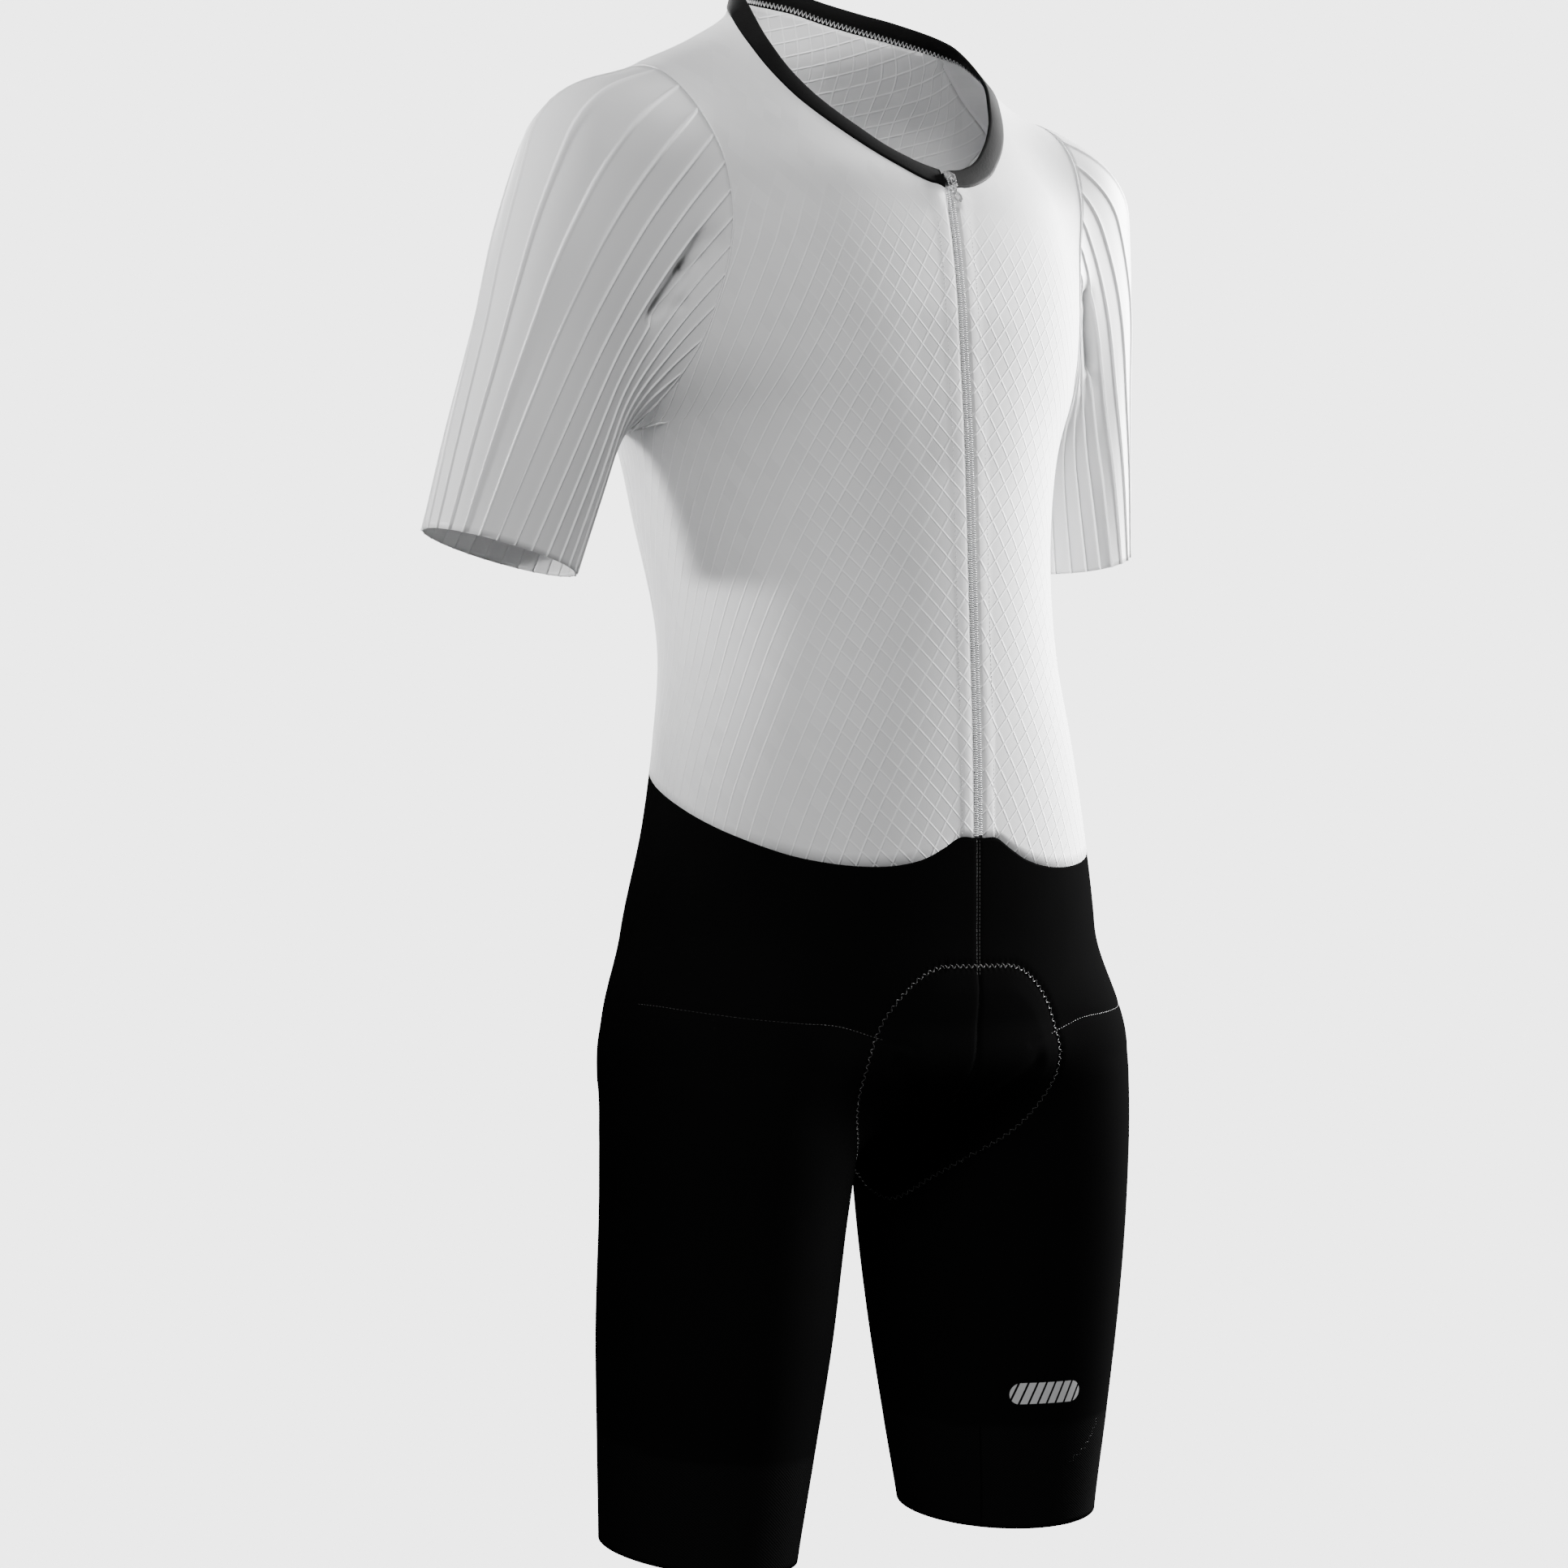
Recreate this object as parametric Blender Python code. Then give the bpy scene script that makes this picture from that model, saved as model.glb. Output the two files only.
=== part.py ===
"""A short-sleeved cycling skinsuit, in the form it has when worn, as one closed piece of cloth for each
piece that is cut and sewn, with its front zip.

Metres, +Z up. The wearer faces -Y, and the wearer's right is -X. The origin lies between the shoulders,
level with the neckline at the side of the neck.

Each piece of cloth is a grid of points on one smooth form, pressed onto it between the seams that bound
it. The outside of its wall stays there and the inside lies one wall further in.
"""
import bpy
import numpy as np
from math import cos, radians, sin
from mathutils import Matrix, Vector

for thing in list(bpy.data.objects):
    bpy.data.objects.remove(thing, do_unlink=True)

# Driving sizes
WALL = 0.0015            # cloth
SEAM_GAP = 0.0003        # between neighbouring pieces
TAPE_WALL = 0.0010       # zip tape
PAD_WALL = 0.0060        # seat pad
PAD_EASE = 0.0028        # between the pad and the shorts
TAPE_SHARE = 0.7         # a tape's width, as a share of its front's first column
TAPE_TOP = -(WALL + SEAM_GAP)   # its face, just inside the cloth
COLLAR_LIFT = 0.0005     # the collar's folded band stands this proud
COLLAR_WIDTH = 0.0125
SLEEVE_GAP = 0.0005      # a sleeve's own share of the gap at its armhole
ZIP_HALF = 0.0032        # half of the coil's width
ZIP_EDGE = ZIP_HALF + SEAM_GAP / 2
RIBS = 28                # round each sleeve
RIB_HEIGHT = 0.0011
RIB_HALF_ANGLE = 2.2     # degrees, from a rib's crest to its foot
AXIS_Y = 0.020           # the upright line that angles round the body are taken from

# The worn body of the suit in level sections: superellipses with a front and a back half.
# height, half width, front, back, line of the widest point, squareness
TRUNK = np.array([
    (0.040, 0.058, -0.020, 0.085, 0.004, 1.7),
    (0.010, 0.072, -0.030, 0.087, 0.004, 1.6),
    (-0.012, 0.084, -0.036, 0.090, 0.006, 1.65),
    (-0.030, 0.109, -0.038, 0.098, 0.014, 1.8),
    (-0.046, 0.136, -0.036, 0.103, 0.020, 2.1),
    (-0.064, 0.150, -0.043, 0.110, 0.020, 2.3),
    (-0.090, 0.160, -0.060, 0.117, 0.020, 2.4),
    (-0.112, 0.162, -0.0755, 0.122, 0.020, 2.4),
    (-0.130, 0.163, -0.080, 0.126, 0.020, 2.4),
    (-0.175, 0.162, -0.087, 0.130, 0.020, 2.4),
    (-0.220, 0.157, -0.0905, 0.128, 0.019, 2.3),
    (-0.255, 0.140, -0.093, 0.124, 0.016, 2.25),
    (-0.300, 0.130, -0.095, 0.118, 0.012, 2.2),
    (-0.380, 0.127, -0.098, 0.094, -0.002, 2.2),
    (-0.430, 0.138, -0.100, 0.086, -0.008, 2.2),
    (-0.480, 0.149, -0.101, 0.084, -0.010, 2.2),
    (-0.540, 0.160, -0.101, 0.094, -0.008, 2.25),
    (-0.590, 0.164, -0.100, 0.100, -0.006, 2.25),
    (-0.625, 0.158, -0.092, 0.096, -0.004, 2.2),
    (-0.650, 0.115, -0.060, 0.080, 0.000, 2.0),
    (-0.668, 0.050, -0.025, 0.045, 0.006, 2.0),
    (-0.678, 0.020, -0.010, 0.020, 0.006, 2.0),
])

# A sleeve or a leg is a tube round a straight line from its top to the middle of its hem. Its section is
# an ellipse whose long axis points along "long".
SLEEVE_LINE = {
    -1: dict(top=(-0.174, 0.019, -0.116), hem=(-0.2290, 0.045, -0.330), long=(1.0, 0.0, 0.0), first=0.0),
    1: dict(top=(0.170, 0.010, -0.105), hem=(0.2195, 0.046, -0.308), long=(1.0, 0.0, 0.0), first=0.0),
}
LEG_LINE = dict(top=(0.103, -0.006, -0.640), hem=(0.120, 0.004, -0.900), long=(0.766, -0.643, 0.0), first=-0.1)

BEYOND_HEM = 1.3         # the tubes run on this far past their hems

# share of the way from top to hem, long radius, short radius
SLEEVE_RADII = np.array([
    (0.00, 0.0500, 0.0500),
    (0.25, 0.0505, 0.0505),
    (0.50, 0.0475, 0.0475),
    (0.75, 0.0460, 0.0460),
    (1.00, 0.0440, 0.0440),
    (BEYOND_HEM, 0.0430, 0.0430),
])
LEG_RADII = np.array([
    (-0.30, 0.0800, 0.0720),
    (0.00, 0.0850, 0.0740),
    (0.25, 0.0825, 0.0700),
    (0.50, 0.0765, 0.0670),
    (0.75, 0.0680, 0.0615),
    (1.00, 0.0590, 0.0560),
    (BEYOND_HEM, 0.0550, 0.0530),
])
SHOULDER_BLEND = 0.046
CROTCH_BLEND = 0.024

# The largest folds, as soft troughs between two points: the start and the end as x, y, z for the right
# side of the body, the half width and the depth. Each has its like on the left side.
FOLDS = np.array([
    (-0.150, -0.044, -0.160, -0.172, -0.030, -0.206, 0.0075, 0.0042),
    (-0.158, -0.050, -0.178, -0.176, -0.024, -0.226, 0.0060, 0.0030),
    (-0.150, 0.090, -0.150, -0.172, 0.070, -0.205, 0.0080, 0.0036),
    (-0.156, 0.100, -0.176, -0.174, 0.066, -0.222, 0.0065, 0.0028),
])

# Angles round the body are in degrees from the front centre.
# angle, height of the waist seam
WAIST = np.array([(0, -0.4875), (7, -0.4875), (12, -0.4930), (18, -0.4990), (26, -0.5030), (36, -0.5040),
                  (46, -0.5010), (56, -0.4945), (66, -0.4840), (78, -0.4700), (92, -0.4550), (108, -0.4430),
                  (130, -0.4330), (155, -0.4280), (180, -0.4270)])
# angle, height of the collar's lower edge
NECKLINE = np.array([(0, -0.1160), (12, -0.1125), (23, -0.1050), (38, -0.0905), (50, -0.0760), (60, -0.0605),
                     (68, -0.0430), (76, -0.0270), (86, -0.0155), (98, -0.0085), (115, -0.0020), (140, 0.0060),
                     (165, 0.0135), (180, 0.0150)])
SIDE_ANGLE = 108         # side seam at the waist
CORNER_ANGLE = 88        # end of the shoulder seam at the neckline
CHEST = -0.236           # height of the line between a front's upper and lower half

# A sleeve is set in round a centre; angles run from the underarm forward and over the top.
ARMHOLE_CENTRE = (0.1455, 0.020, -0.145)
ARMHOLE_UNDER = 0.0005   # how much nearer the hand the seam lies under the arm than over it
ARMHOLE_SCOOP = 0.0080   # how far it curves in at the front and the back
SIDE_STEP = -3           # where the side seam and the shoulder seam meet it, in ribs from the underarm
SHOULDER_STEP = 15

FORK = (0.0, -0.002, -0.585)
FORK_FRONT = 32          # degrees round the fork, from straight ahead, where the inside leg begins
FORK_BACK = 150
LEG_HEM = -0.889
HEM_RISE_BACK = 0.139    # the leg hem's slope towards the back and towards the outside
HEM_RISE_OUT = 0.056
HEM_EVENED = 0.5         # how far the hem's points are spread from under the ring above to even steps

# The seat pad: degrees round the fork, half width
PAD = np.array([(-14, 0.026), (-9, 0.046), (0, 0.064), (14, 0.076), (32, 0.076), (52, 0.062), (75, 0.046),
                (100, 0.044), (122, 0.060), (142, 0.072), (158, 0.068), (168, 0.050), (174, 0.028)])

WAIST_STEPS = [7, 13, 20, 30, 42, 54, 68, 82, 95, SIDE_ANGLE]
NECK_STEPS = [13, 25, 36, 46, 55, 63, 70, 78, CORNER_ANGLE]
BACK_NECK_PIECES = 10
LOWER_ROWS = 8
ZIP_ROWS = SHOULDER_STEP - SIDE_STEP - len(NECK_STEPS)


def smooth(table):
    """A smooth curve through a table's rows, as cubic pieces with the neighbouring rows' slopes. It gives
    every column after the first, as a row for each value of the first."""
    table = table[np.argsort(table[:, 0])]
    x, y = table[:, 0], table[:, 1:]
    tangent = np.gradient(y, x, axis=0)

    def at(t):
        t = np.clip(t, x[0], x[-1])
        i = np.clip(np.searchsorted(x, t, side="right") - 1, 0, len(x) - 2)
        h = (x[i + 1] - x[i])[:, None]
        s = (t - x[i])[:, None] / h
        return ((2 * s**3 - 3 * s**2 + 1) * y[i] + (s**3 - 2 * s**2 + s) * h * tangent[i]
                + (3 * s**2 - 2 * s**3) * y[i + 1] + (s**3 - s**2) * h * tangent[i + 1])
    return at


trunk_at, sleeve_at, leg_at = smooth(TRUNK), smooth(SLEEVE_RADII), smooth(LEG_RADII)
pad_at = smooth(PAD)


def trunk_distance(p):
    """Distance from the trunk's sections, corrected for how steeply the sections change with height."""
    def beyond(z):
        width, front, back, middle, square = trunk_at(z).T
        y = p[:, 1] - middle
        depth = np.where(y < 0, middle - front, back - middle)
        share = (np.abs(p[:, 0] / width)**square + np.abs(y / depth)**square)**(1 / square)
        size = np.hypot(p[:, 0], y)
        return size - size / np.maximum(share, 1e-9)
    step = 0.004
    steepness = (beyond(p[:, 2] + step) - beyond(p[:, 2] - step)) / (2 * step)
    side = beyond(p[:, 2]) / np.sqrt(1 + steepness**2)
    ends = np.maximum(p[:, 2] - TRUNK[0, 0], TRUNK[-1, 0] - p[:, 2])
    return np.maximum(side, ends)


def tube_distance(p, line, radii_at):
    """Distance from a tube of elliptical section round a straight line."""
    start = np.array(line["top"])
    axis = np.array(line["hem"]) - start
    along = axis / np.linalg.norm(axis)
    t = np.clip((p - start) @ axis / (axis @ axis), line["first"], BEYOND_HEM)
    v = p - start - t[:, None] * axis
    wide = np.array(line["long"]) - (np.array(line["long"]) @ along) * along
    wide /= np.linalg.norm(wide)
    size = np.linalg.norm(v, axis=1)
    across = v @ wide
    rest = np.sqrt(np.maximum(size**2 - across**2, 0))
    long_radius, short_radius = radii_at(t).T
    share = np.hypot(across / long_radius, rest / short_radius)
    return size - size / np.maximum(share, 1e-9)


def blend(a, b, width):
    """The smaller of two distances, with a soft fillet of this width where they meet."""
    h = np.clip(0.5 + 0.5 * (b - a) / width, 0, 1)
    return b * (1 - h) + a * h - width * h * (1 - h)


def fold_depth(p):
    """How deep the folds are at each point: a bell curve across each fold, fading at its ends."""
    depth = np.zeros(len(p))
    mirrored = np.column_stack([-np.abs(p[:, 0]), p[:, 1], p[:, 2]])
    for fold in FOLDS:
        start, run = fold[:3], fold[3:6] - fold[:3]
        t = np.clip((mirrored - start) @ run / (run @ run), 0, 1)
        away = np.linalg.norm(mirrored - start - t[:, None] * run, axis=1)
        depth += fold[7] * np.exp(-(away / fold[6])**2)
    return depth


def form(p):
    """Distance outside the worn form: trunk, two sleeves and two legs, filleted into one, less the folds."""
    mirrored = np.column_stack([np.abs(p[:, 0]), p[:, 1], p[:, 2]])
    d = trunk_distance(mirrored)
    for side in (-1, 1):
        d = blend(d, tube_distance(p, SLEEVE_LINE[side], sleeve_at), SHOULDER_BLEND)
    d = blend(d, tube_distance(mirrored, LEG_LINE, leg_at), CROTCH_BLEND)
    return d + fold_depth(p)


def slope(p):
    """The form's gradient, by small steps along each axis."""
    step = 0.0008
    moved = np.concatenate([p + step * e for e in (*np.eye(3), *-np.eye(3))])
    values = form(moved).reshape(2, 3, -1)
    return ((values[0] - values[1]) / (2 * step)).T


def outward(p):
    g = slope(p)
    return g / np.linalg.norm(g, axis=1)[:, None]


def press(p, rounds=14, longest=0.02, flattest=0.05):
    """Move points straight onto the form, in steps no longer than this."""
    for _ in range(rounds):
        g = slope(p)
        move = form(p) / np.maximum((g**2).sum(axis=1), flattest)
        p = p - np.clip(move, -longest, longest)[:, None] * g
    return p


def leave(start, heading, rounds=60, first=0.002, share=0.7, longest=0.03):
    """Where rays from inside the form come out of it. They start just off the line that a tube is round,
    and each step is a share of the distance still to go."""
    heading = heading / np.linalg.norm(heading, axis=1)[:, None]
    p = start + first * heading
    for _ in range(rounds):
        p = p - share * np.clip(form(p), -longest, longest)[:, None] * heading
    return p


def walk(p, heading, distance, steps):
    """Rows of points on the form, each a step further from p along the heading."""
    rows = [p]
    for _ in range(steps):
        n = outward(p)
        flat = heading - (heading * n).sum(axis=1)[:, None] * n
        flat /= np.linalg.norm(flat, axis=1)[:, None]
        p = press(p + flat * (distance / steps)[:, None], 6)
        rows.append(p)
    return np.array(rows)


def between(a, b, count):
    """A line of points pressed onto the form from one point to another."""
    t = np.linspace(0, 1, count + 1)[:, None]
    line = a + t * (b - a)
    for _ in range(6):
        line[1:-1] = press(line[1:-1])
        line[1:-1] = (line[:-2] + line[2:]) / 2
    line[1:-1] = press(line[1:-1])
    return line


def round_body(angles, height_at):
    """Points at these angles round the body, at the heights of a seam there."""
    angles = np.asarray(angles, float)
    height = height_at(np.abs(angles))[:, 0]
    turn = np.radians(angles)
    start = np.column_stack([0 * turn, 0 * turn + AXIS_Y, height])
    return leave(start, np.column_stack([np.sin(turn), -np.cos(turn), 0 * turn]))


def zip_edge(heights, x):
    """Points of the front at this distance from the centre, by height."""
    start = np.column_stack([0 * heights + x, 0 * heights, heights])
    return leave(start, np.tile((0.0, -1.0, 0.0), (len(heights), 1)))


def armhole(side):
    """The seam round a sleeve's top: one point for each rib, from the underarm forward and over the top."""
    turn = np.radians(360 / RIBS) * np.arange(RIBS)
    x, y, z = ARMHOLE_CENTRE
    across = side * (x + ARMHOLE_UNDER * np.cos(turn) + ARMHOLE_SCOOP * np.cos(2 * turn))
    start = np.column_stack([across, 0 * turn + y, 0 * turn + z])
    return leave(start, np.column_stack([0 * turn, -np.sin(turn), -np.cos(turn)]))


def relax(grid, fixed_sides, rounds=30):
    """Even out a grid's inner points and keep them on the form; a tube's rows join up at their ends."""
    for _ in range(rounds):
        if fixed_sides:
            inner = (grid[:-2, 1:-1] + grid[2:, 1:-1] + grid[1:-1, :-2] + grid[1:-1, 2:]) / 4
            grid[1:-1, 1:-1] = press(inner.reshape(-1, 3), 2).reshape(inner.shape)
        else:
            inner = (grid[:-2] + grid[2:] + np.roll(grid, 1, 1)[1:-1] + np.roll(grid, -1, 1)[1:-1]) / 4
            grid[1:-1] = press(inner.reshape(-1, 3), 2).reshape(inner.shape)
    return grid


def patch(bottom, top, left, right):
    """A grid filled in between four edges (a Coons patch), pressed onto the form; rows run from bottom to top."""
    v = np.linspace(0, 1, len(left))[:, None, None]
    u = np.linspace(0, 1, len(bottom))[None, :, None]
    grid = ((1 - v) * bottom[None] + v * top[None] + (1 - u) * left[:, None] + u * right[:, None]
            - (1 - u) * (1 - v) * bottom[0] - u * (1 - v) * bottom[-1]
            - (1 - u) * v * top[0] - u * v * top[-1])
    inner = grid[1:-1, 1:-1]
    grid[1:-1, 1:-1] = press(inner.reshape(-1, 3)).reshape(inner.shape)
    return relax(grid, True)


def tube(first, last, rows):
    """A grid round a sleeve or a leg, from one ring of points to another."""
    t = np.linspace(0, 1, rows + 1)[:, None, None]
    grid = first[None] * (1 - t) + last[None] * t
    grid[1:-1] = press(grid[1:-1].reshape(-1, 3)).reshape(grid[1:-1].shape)
    return relax(grid, False)


def grid_faces(rows, columns, joined, start=0):
    """Four-sided faces over a grid, wound so that they face outwards when columns run towards -X in front."""
    count = columns if joined else columns - 1
    i, j = np.meshgrid(np.arange(rows - 1), np.arange(count), indexing="ij")
    k = (j + 1) % columns
    faces = np.stack([i * columns + j, (i + 1) * columns + j, (i + 1) * columns + k, i * columns + k], axis=-1)
    return faces.reshape(-1, 4) + start


def sew(grids):
    """One mesh from several grids whose shared edges become one. Each grid is (points, joined)."""
    points, faces = [], []
    for grid, joined in grids:
        faces.append(grid_faces(grid.shape[0], grid.shape[1], joined, sum(len(p) for p in points)))
        points.append(grid.reshape(-1, 3))
    points = np.concatenate(points)
    faces = np.concatenate(faces)
    _, first, index = np.unique(np.round(points, 7), axis=0, return_index=True, return_inverse=True)
    return points[first], index.reshape(-1)[faces]


def rim(faces):
    """The edges that only one face has, each in that face's own direction."""
    edges = np.concatenate([np.column_stack([faces[:, a], faces[:, (a + 1) % 4]]) for a in range(4)])
    size = int(faces.max()) + 1
    keys = edges[:, 0] * size + edges[:, 1]
    return edges[~np.isin(keys, edges[:, 1] * size + edges[:, 0])]


def split(points, faces):
    """Cut each four-sided face into two triangles along its shorter diagonal."""
    a, b, c, d = (points[faces[:, k]] for k in range(4))
    first = (((c - a)**2).sum(axis=1) <= ((d - b)**2).sum(axis=1))[:, None]
    return np.concatenate([np.where(first, faces[:, [0, 1, 2]], faces[:, [0, 1, 3]]),
                           np.where(first, faces[:, [0, 2, 3]], faces[:, [1, 2, 3]])])


def face_outwards(points, faces):
    """Turn all the faces of a mesh over if they face into the body."""
    a, b, c, d = (points[faces[:, k]] for k in range(4))
    normal = np.cross(c - a, d - b)
    agrees = (normal * outward((a + b + c + d) / 4)).sum()
    return faces if agrees > 0 else faces[:, ::-1]


def draw_in(points, faces, distance):
    """Move a mesh's rim in along the cloth, so that a gap is left at every seam."""
    edges = rim(faces)
    n = outward(points)
    run = points[edges[:, 1]] - points[edges[:, 0]]
    inward = np.cross(n[edges[:, 0]] + n[edges[:, 1]], run)
    inward /= np.linalg.norm(inward, axis=1)[:, None]
    total = np.zeros_like(points)
    np.add.at(total, edges[:, 0], inward)
    np.add.at(total, edges[:, 1], inward)
    size = (total**2).sum(axis=1)
    on_rim = size > 0
    moved = points.copy()
    moved[on_rim] += 2 * distance * total[on_rim] / np.maximum(size[on_rim], 0.6)[:, None]
    return moved


def finish(name, points, faces, colour, roughness, metallic=0.0):
    mesh = bpy.data.meshes.new(name)
    mesh.from_pydata(points.tolist(), [], [list(map(int, f)) for f in faces])
    mesh.shade_smooth()
    mesh.set_sharp_from_angle(angle=radians(50))
    thing = bpy.data.objects.new(name, mesh)
    bpy.context.scene.collection.objects.link(thing)
    paint(thing, colour, roughness, metallic)
    return thing


def paint(thing, colour, roughness, metallic):
    material = bpy.data.materials.new(thing.name)
    material.use_nodes = True
    shader = material.node_tree.nodes["Principled BSDF"]
    shader.inputs["Base Color"].default_value = (*colour, 1.0)
    shader.inputs["Roughness"].default_value = roughness
    shader.inputs["Metallic"].default_value = metallic
    thing.data.materials.append(material)


def wall(name, points, faces, colour, roughness, outside=0.0, inside=-WALL, gap=SEAM_GAP / 2):
    """A closed wall of cloth. Outside and inside are how far its faces stand out from the form."""
    faces = face_outwards(points, faces)
    n = outward(points)
    points = draw_in(points, faces, gap)
    count = len(points)
    outer = points + n * np.broadcast_to(outside, count)[:, None]
    inner = points + n * np.broadcast_to(inside, count)[:, None]
    edges = rim(faces)
    sides = np.column_stack([edges[:, 1], edges[:, 0], edges[:, 0] + count, edges[:, 1] + count])
    cloth = split(points, faces)
    both = np.concatenate([outer, inner])
    every = np.concatenate([cloth, cloth[:, ::-1] + count, split(both, sides)])
    return finish(name, both, every, colour, roughness)


WHITE = (0.80, 0.80, 0.81)
BLACK = (0.012, 0.012, 0.013)
STEEL = (0.60, 0.60, 0.61)
PAD_COLOUR = (0.02, 0.02, 0.022)


def across_front(side, steps, seam):
    """A front's end of the neckline or the waist seam, from the edge of the zip round by these angles."""
    points = round_body(side * np.array([0, *steps]), smooth(seam))
    points[0] = zip_edge(seam[:1, 1], side * ZIP_EDGE)[0]
    return points


def front_neck(side):
    return across_front(side, NECK_STEPS, NECKLINE)


def front_waist(side):
    return across_front(side, WAIST_STEPS, WAIST)


def across_back(corner, pieces, seam):
    """The back's stretch of the neckline or the waist seam, from one corner round to the other."""
    turn = np.linspace(-corner, corner - 360, pieces + 1)
    return round_body((turn + 180) % 360 - 180, smooth(seam))


def shoulder_seam(side):
    """From the neckline's corner along the top of the shoulder to the armhole."""
    return between(front_neck(side)[-1], armhole(side)[SHOULDER_STEP], len(WAIST_STEPS))


def side_seam(side):
    return between(front_waist(side)[-1], armhole(side)[SIDE_STEP], LOWER_ROWS)


# The fronts run from the zip round to the side seam, and up to the shoulder seam. The lower half ends at the
# chest line, and the upper half's columns run on from there.
def front_grids(side):
    neck = front_neck(side)
    waist = front_waist(side)
    hole = np.roll(armhole(side), -SIDE_STEP, axis=0)[:SHOULDER_STEP - SIDE_STEP + 1]
    low = zip_edge(np.linspace(WAIST[0, 1], CHEST, LOWER_ROWS + 1), side * ZIP_EDGE)
    high = zip_edge(np.linspace(CHEST, NECKLINE[0, 1], ZIP_ROWS + 1), side * ZIP_EDGE)
    chest = between(low[-1], hole[0], len(WAIST_STEPS))
    lower = patch(waist, chest, low, side_seam(side))
    upper = patch(chest, shoulder_seam(side), np.concatenate([high[:-1], neck]), hole)
    return lower, upper


# The back lies between the side seams, from the waist to the shoulder seams and the neckline.
def make_back():
    neck = across_back(CORNER_ANGLE, BACK_NECK_PIECES, NECKLINE)
    right, left = shoulder_seam(-1), shoulder_seam(1)
    top = np.concatenate([right[::-1], neck[1:-1], left])
    hole = {side: np.roll(armhole(side), -SHOULDER_STEP, axis=0)[:RIBS - SHOULDER_STEP + SIDE_STEP + 1][::-1]
            for side in (-1, 1)}
    waist = across_back(SIDE_ANGLE, len(top) - 1, WAIST)
    chest = between(hole[-1][0], hole[1][0], len(top) - 1)
    lower = patch(waist, chest, side_seam(-1), side_seam(1))
    upper = patch(chest, top, hole[-1], hole[1])
    points, faces = sew([(lower, False), (upper, False)])
    wall("back", points, faces, WHITE, 0.6)


def sleeve_hem(side):
    """The ring of a sleeve's hem, square to its line, from the inside of the arm forward: the crest and
    the two feet of each rib."""
    line = SLEEVE_LINE[side]
    end = np.array(line["hem"])
    along = end - np.array(line["top"])
    along /= np.linalg.norm(along)
    ahead = np.array((0.0, -1.0, 0.0))
    ahead -= (ahead @ along) * along
    ahead /= np.linalg.norm(ahead)
    inside = np.cross(along, ahead) * side
    turn = np.radians(rib_angles())[:, None]
    return leave(end, np.cos(turn) * inside + np.sin(turn) * ahead)


def rib_angles():
    crest = 360 / RIBS * np.arange(RIBS)
    return np.sort(np.concatenate([crest, crest - RIB_HALF_ANGLE, crest + RIB_HALF_ANGLE]))


# A sleeve is one tube with a raised rib along it at each point of its armhole seam.
def make_sleeve(side, name, rows=8):
    seam = armhole(side)
    share = np.array([-1, 0, 1]) * RIB_HALF_ANGLE * RIBS / 360
    before, after = np.roll(seam, 1, axis=0), np.roll(seam, -1, axis=0)
    ring = np.stack([seam + share[2] * (before - seam), seam, seam + share[2] * (after - seam)], axis=1)
    ring = ring.reshape(-1, 3)
    grid = tube(ring, sleeve_hem(side), rows)
    crest = np.tile([0.0, 1.0, 0.0], RIBS)
    fade = np.clip(np.arange(rows + 1), 0, 1)
    lift = RIB_HEIGHT * fade[:, None] * crest[None]
    points, faces = sew([(grid, True)])
    keys = {tuple(k): v for k, v in zip(np.round(grid.reshape(-1, 3), 7), lift.reshape(-1))}
    lift = np.array([keys[tuple(k)] for k in np.round(points, 7)])
    wall(name, points, faces, WHITE, 0.5, outside=lift, gap=SLEEVE_GAP)


def collar_rows():
    """The collar's rows of points, from the neckline up, square to it; its two ends run up beside the zip."""
    right, left = front_neck(-1), front_neck(1)
    back = across_back(CORNER_ANGLE, BACK_NECK_PIECES, NECKLINE)
    lower = np.concatenate([right, back[1:-1], left[::-1]])
    along = np.gradient(lower, axis=0)
    heading = np.cross(along, outward(lower))
    heading[[0, -1], 0] = 0
    up = np.sign(heading[:, 2].sum())
    return walk(lower, heading * up, np.full(len(lower), COLLAR_WIDTH), 2)


def fork_point(angles):
    turn = np.radians(np.asarray(angles, float))
    return leave(np.array(FORK), np.column_stack([0 * turn, -np.cos(turn), -np.sin(turn)]))


def hip_row(side, front_fork, back_fork, count):
    """Round the top of a thigh from the centre front over the outside to the centre back."""
    middle = np.array([leg_axis(side, z) for z in np.linspace(front_fork[2], back_fork[2], count)])
    first = front_fork - middle[0]
    last = back_fork - middle[-1]
    start = np.arctan2(side * first[0], -first[1])
    end = np.arctan2(side * last[0], -last[1]) + 2 * np.pi
    turn = np.linspace(start, end, count)
    row = leave(middle, np.column_stack([side * np.sin(turn), -np.cos(turn), 0 * turn]))
    row[0], row[-1] = front_fork, back_fork
    return row


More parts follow.
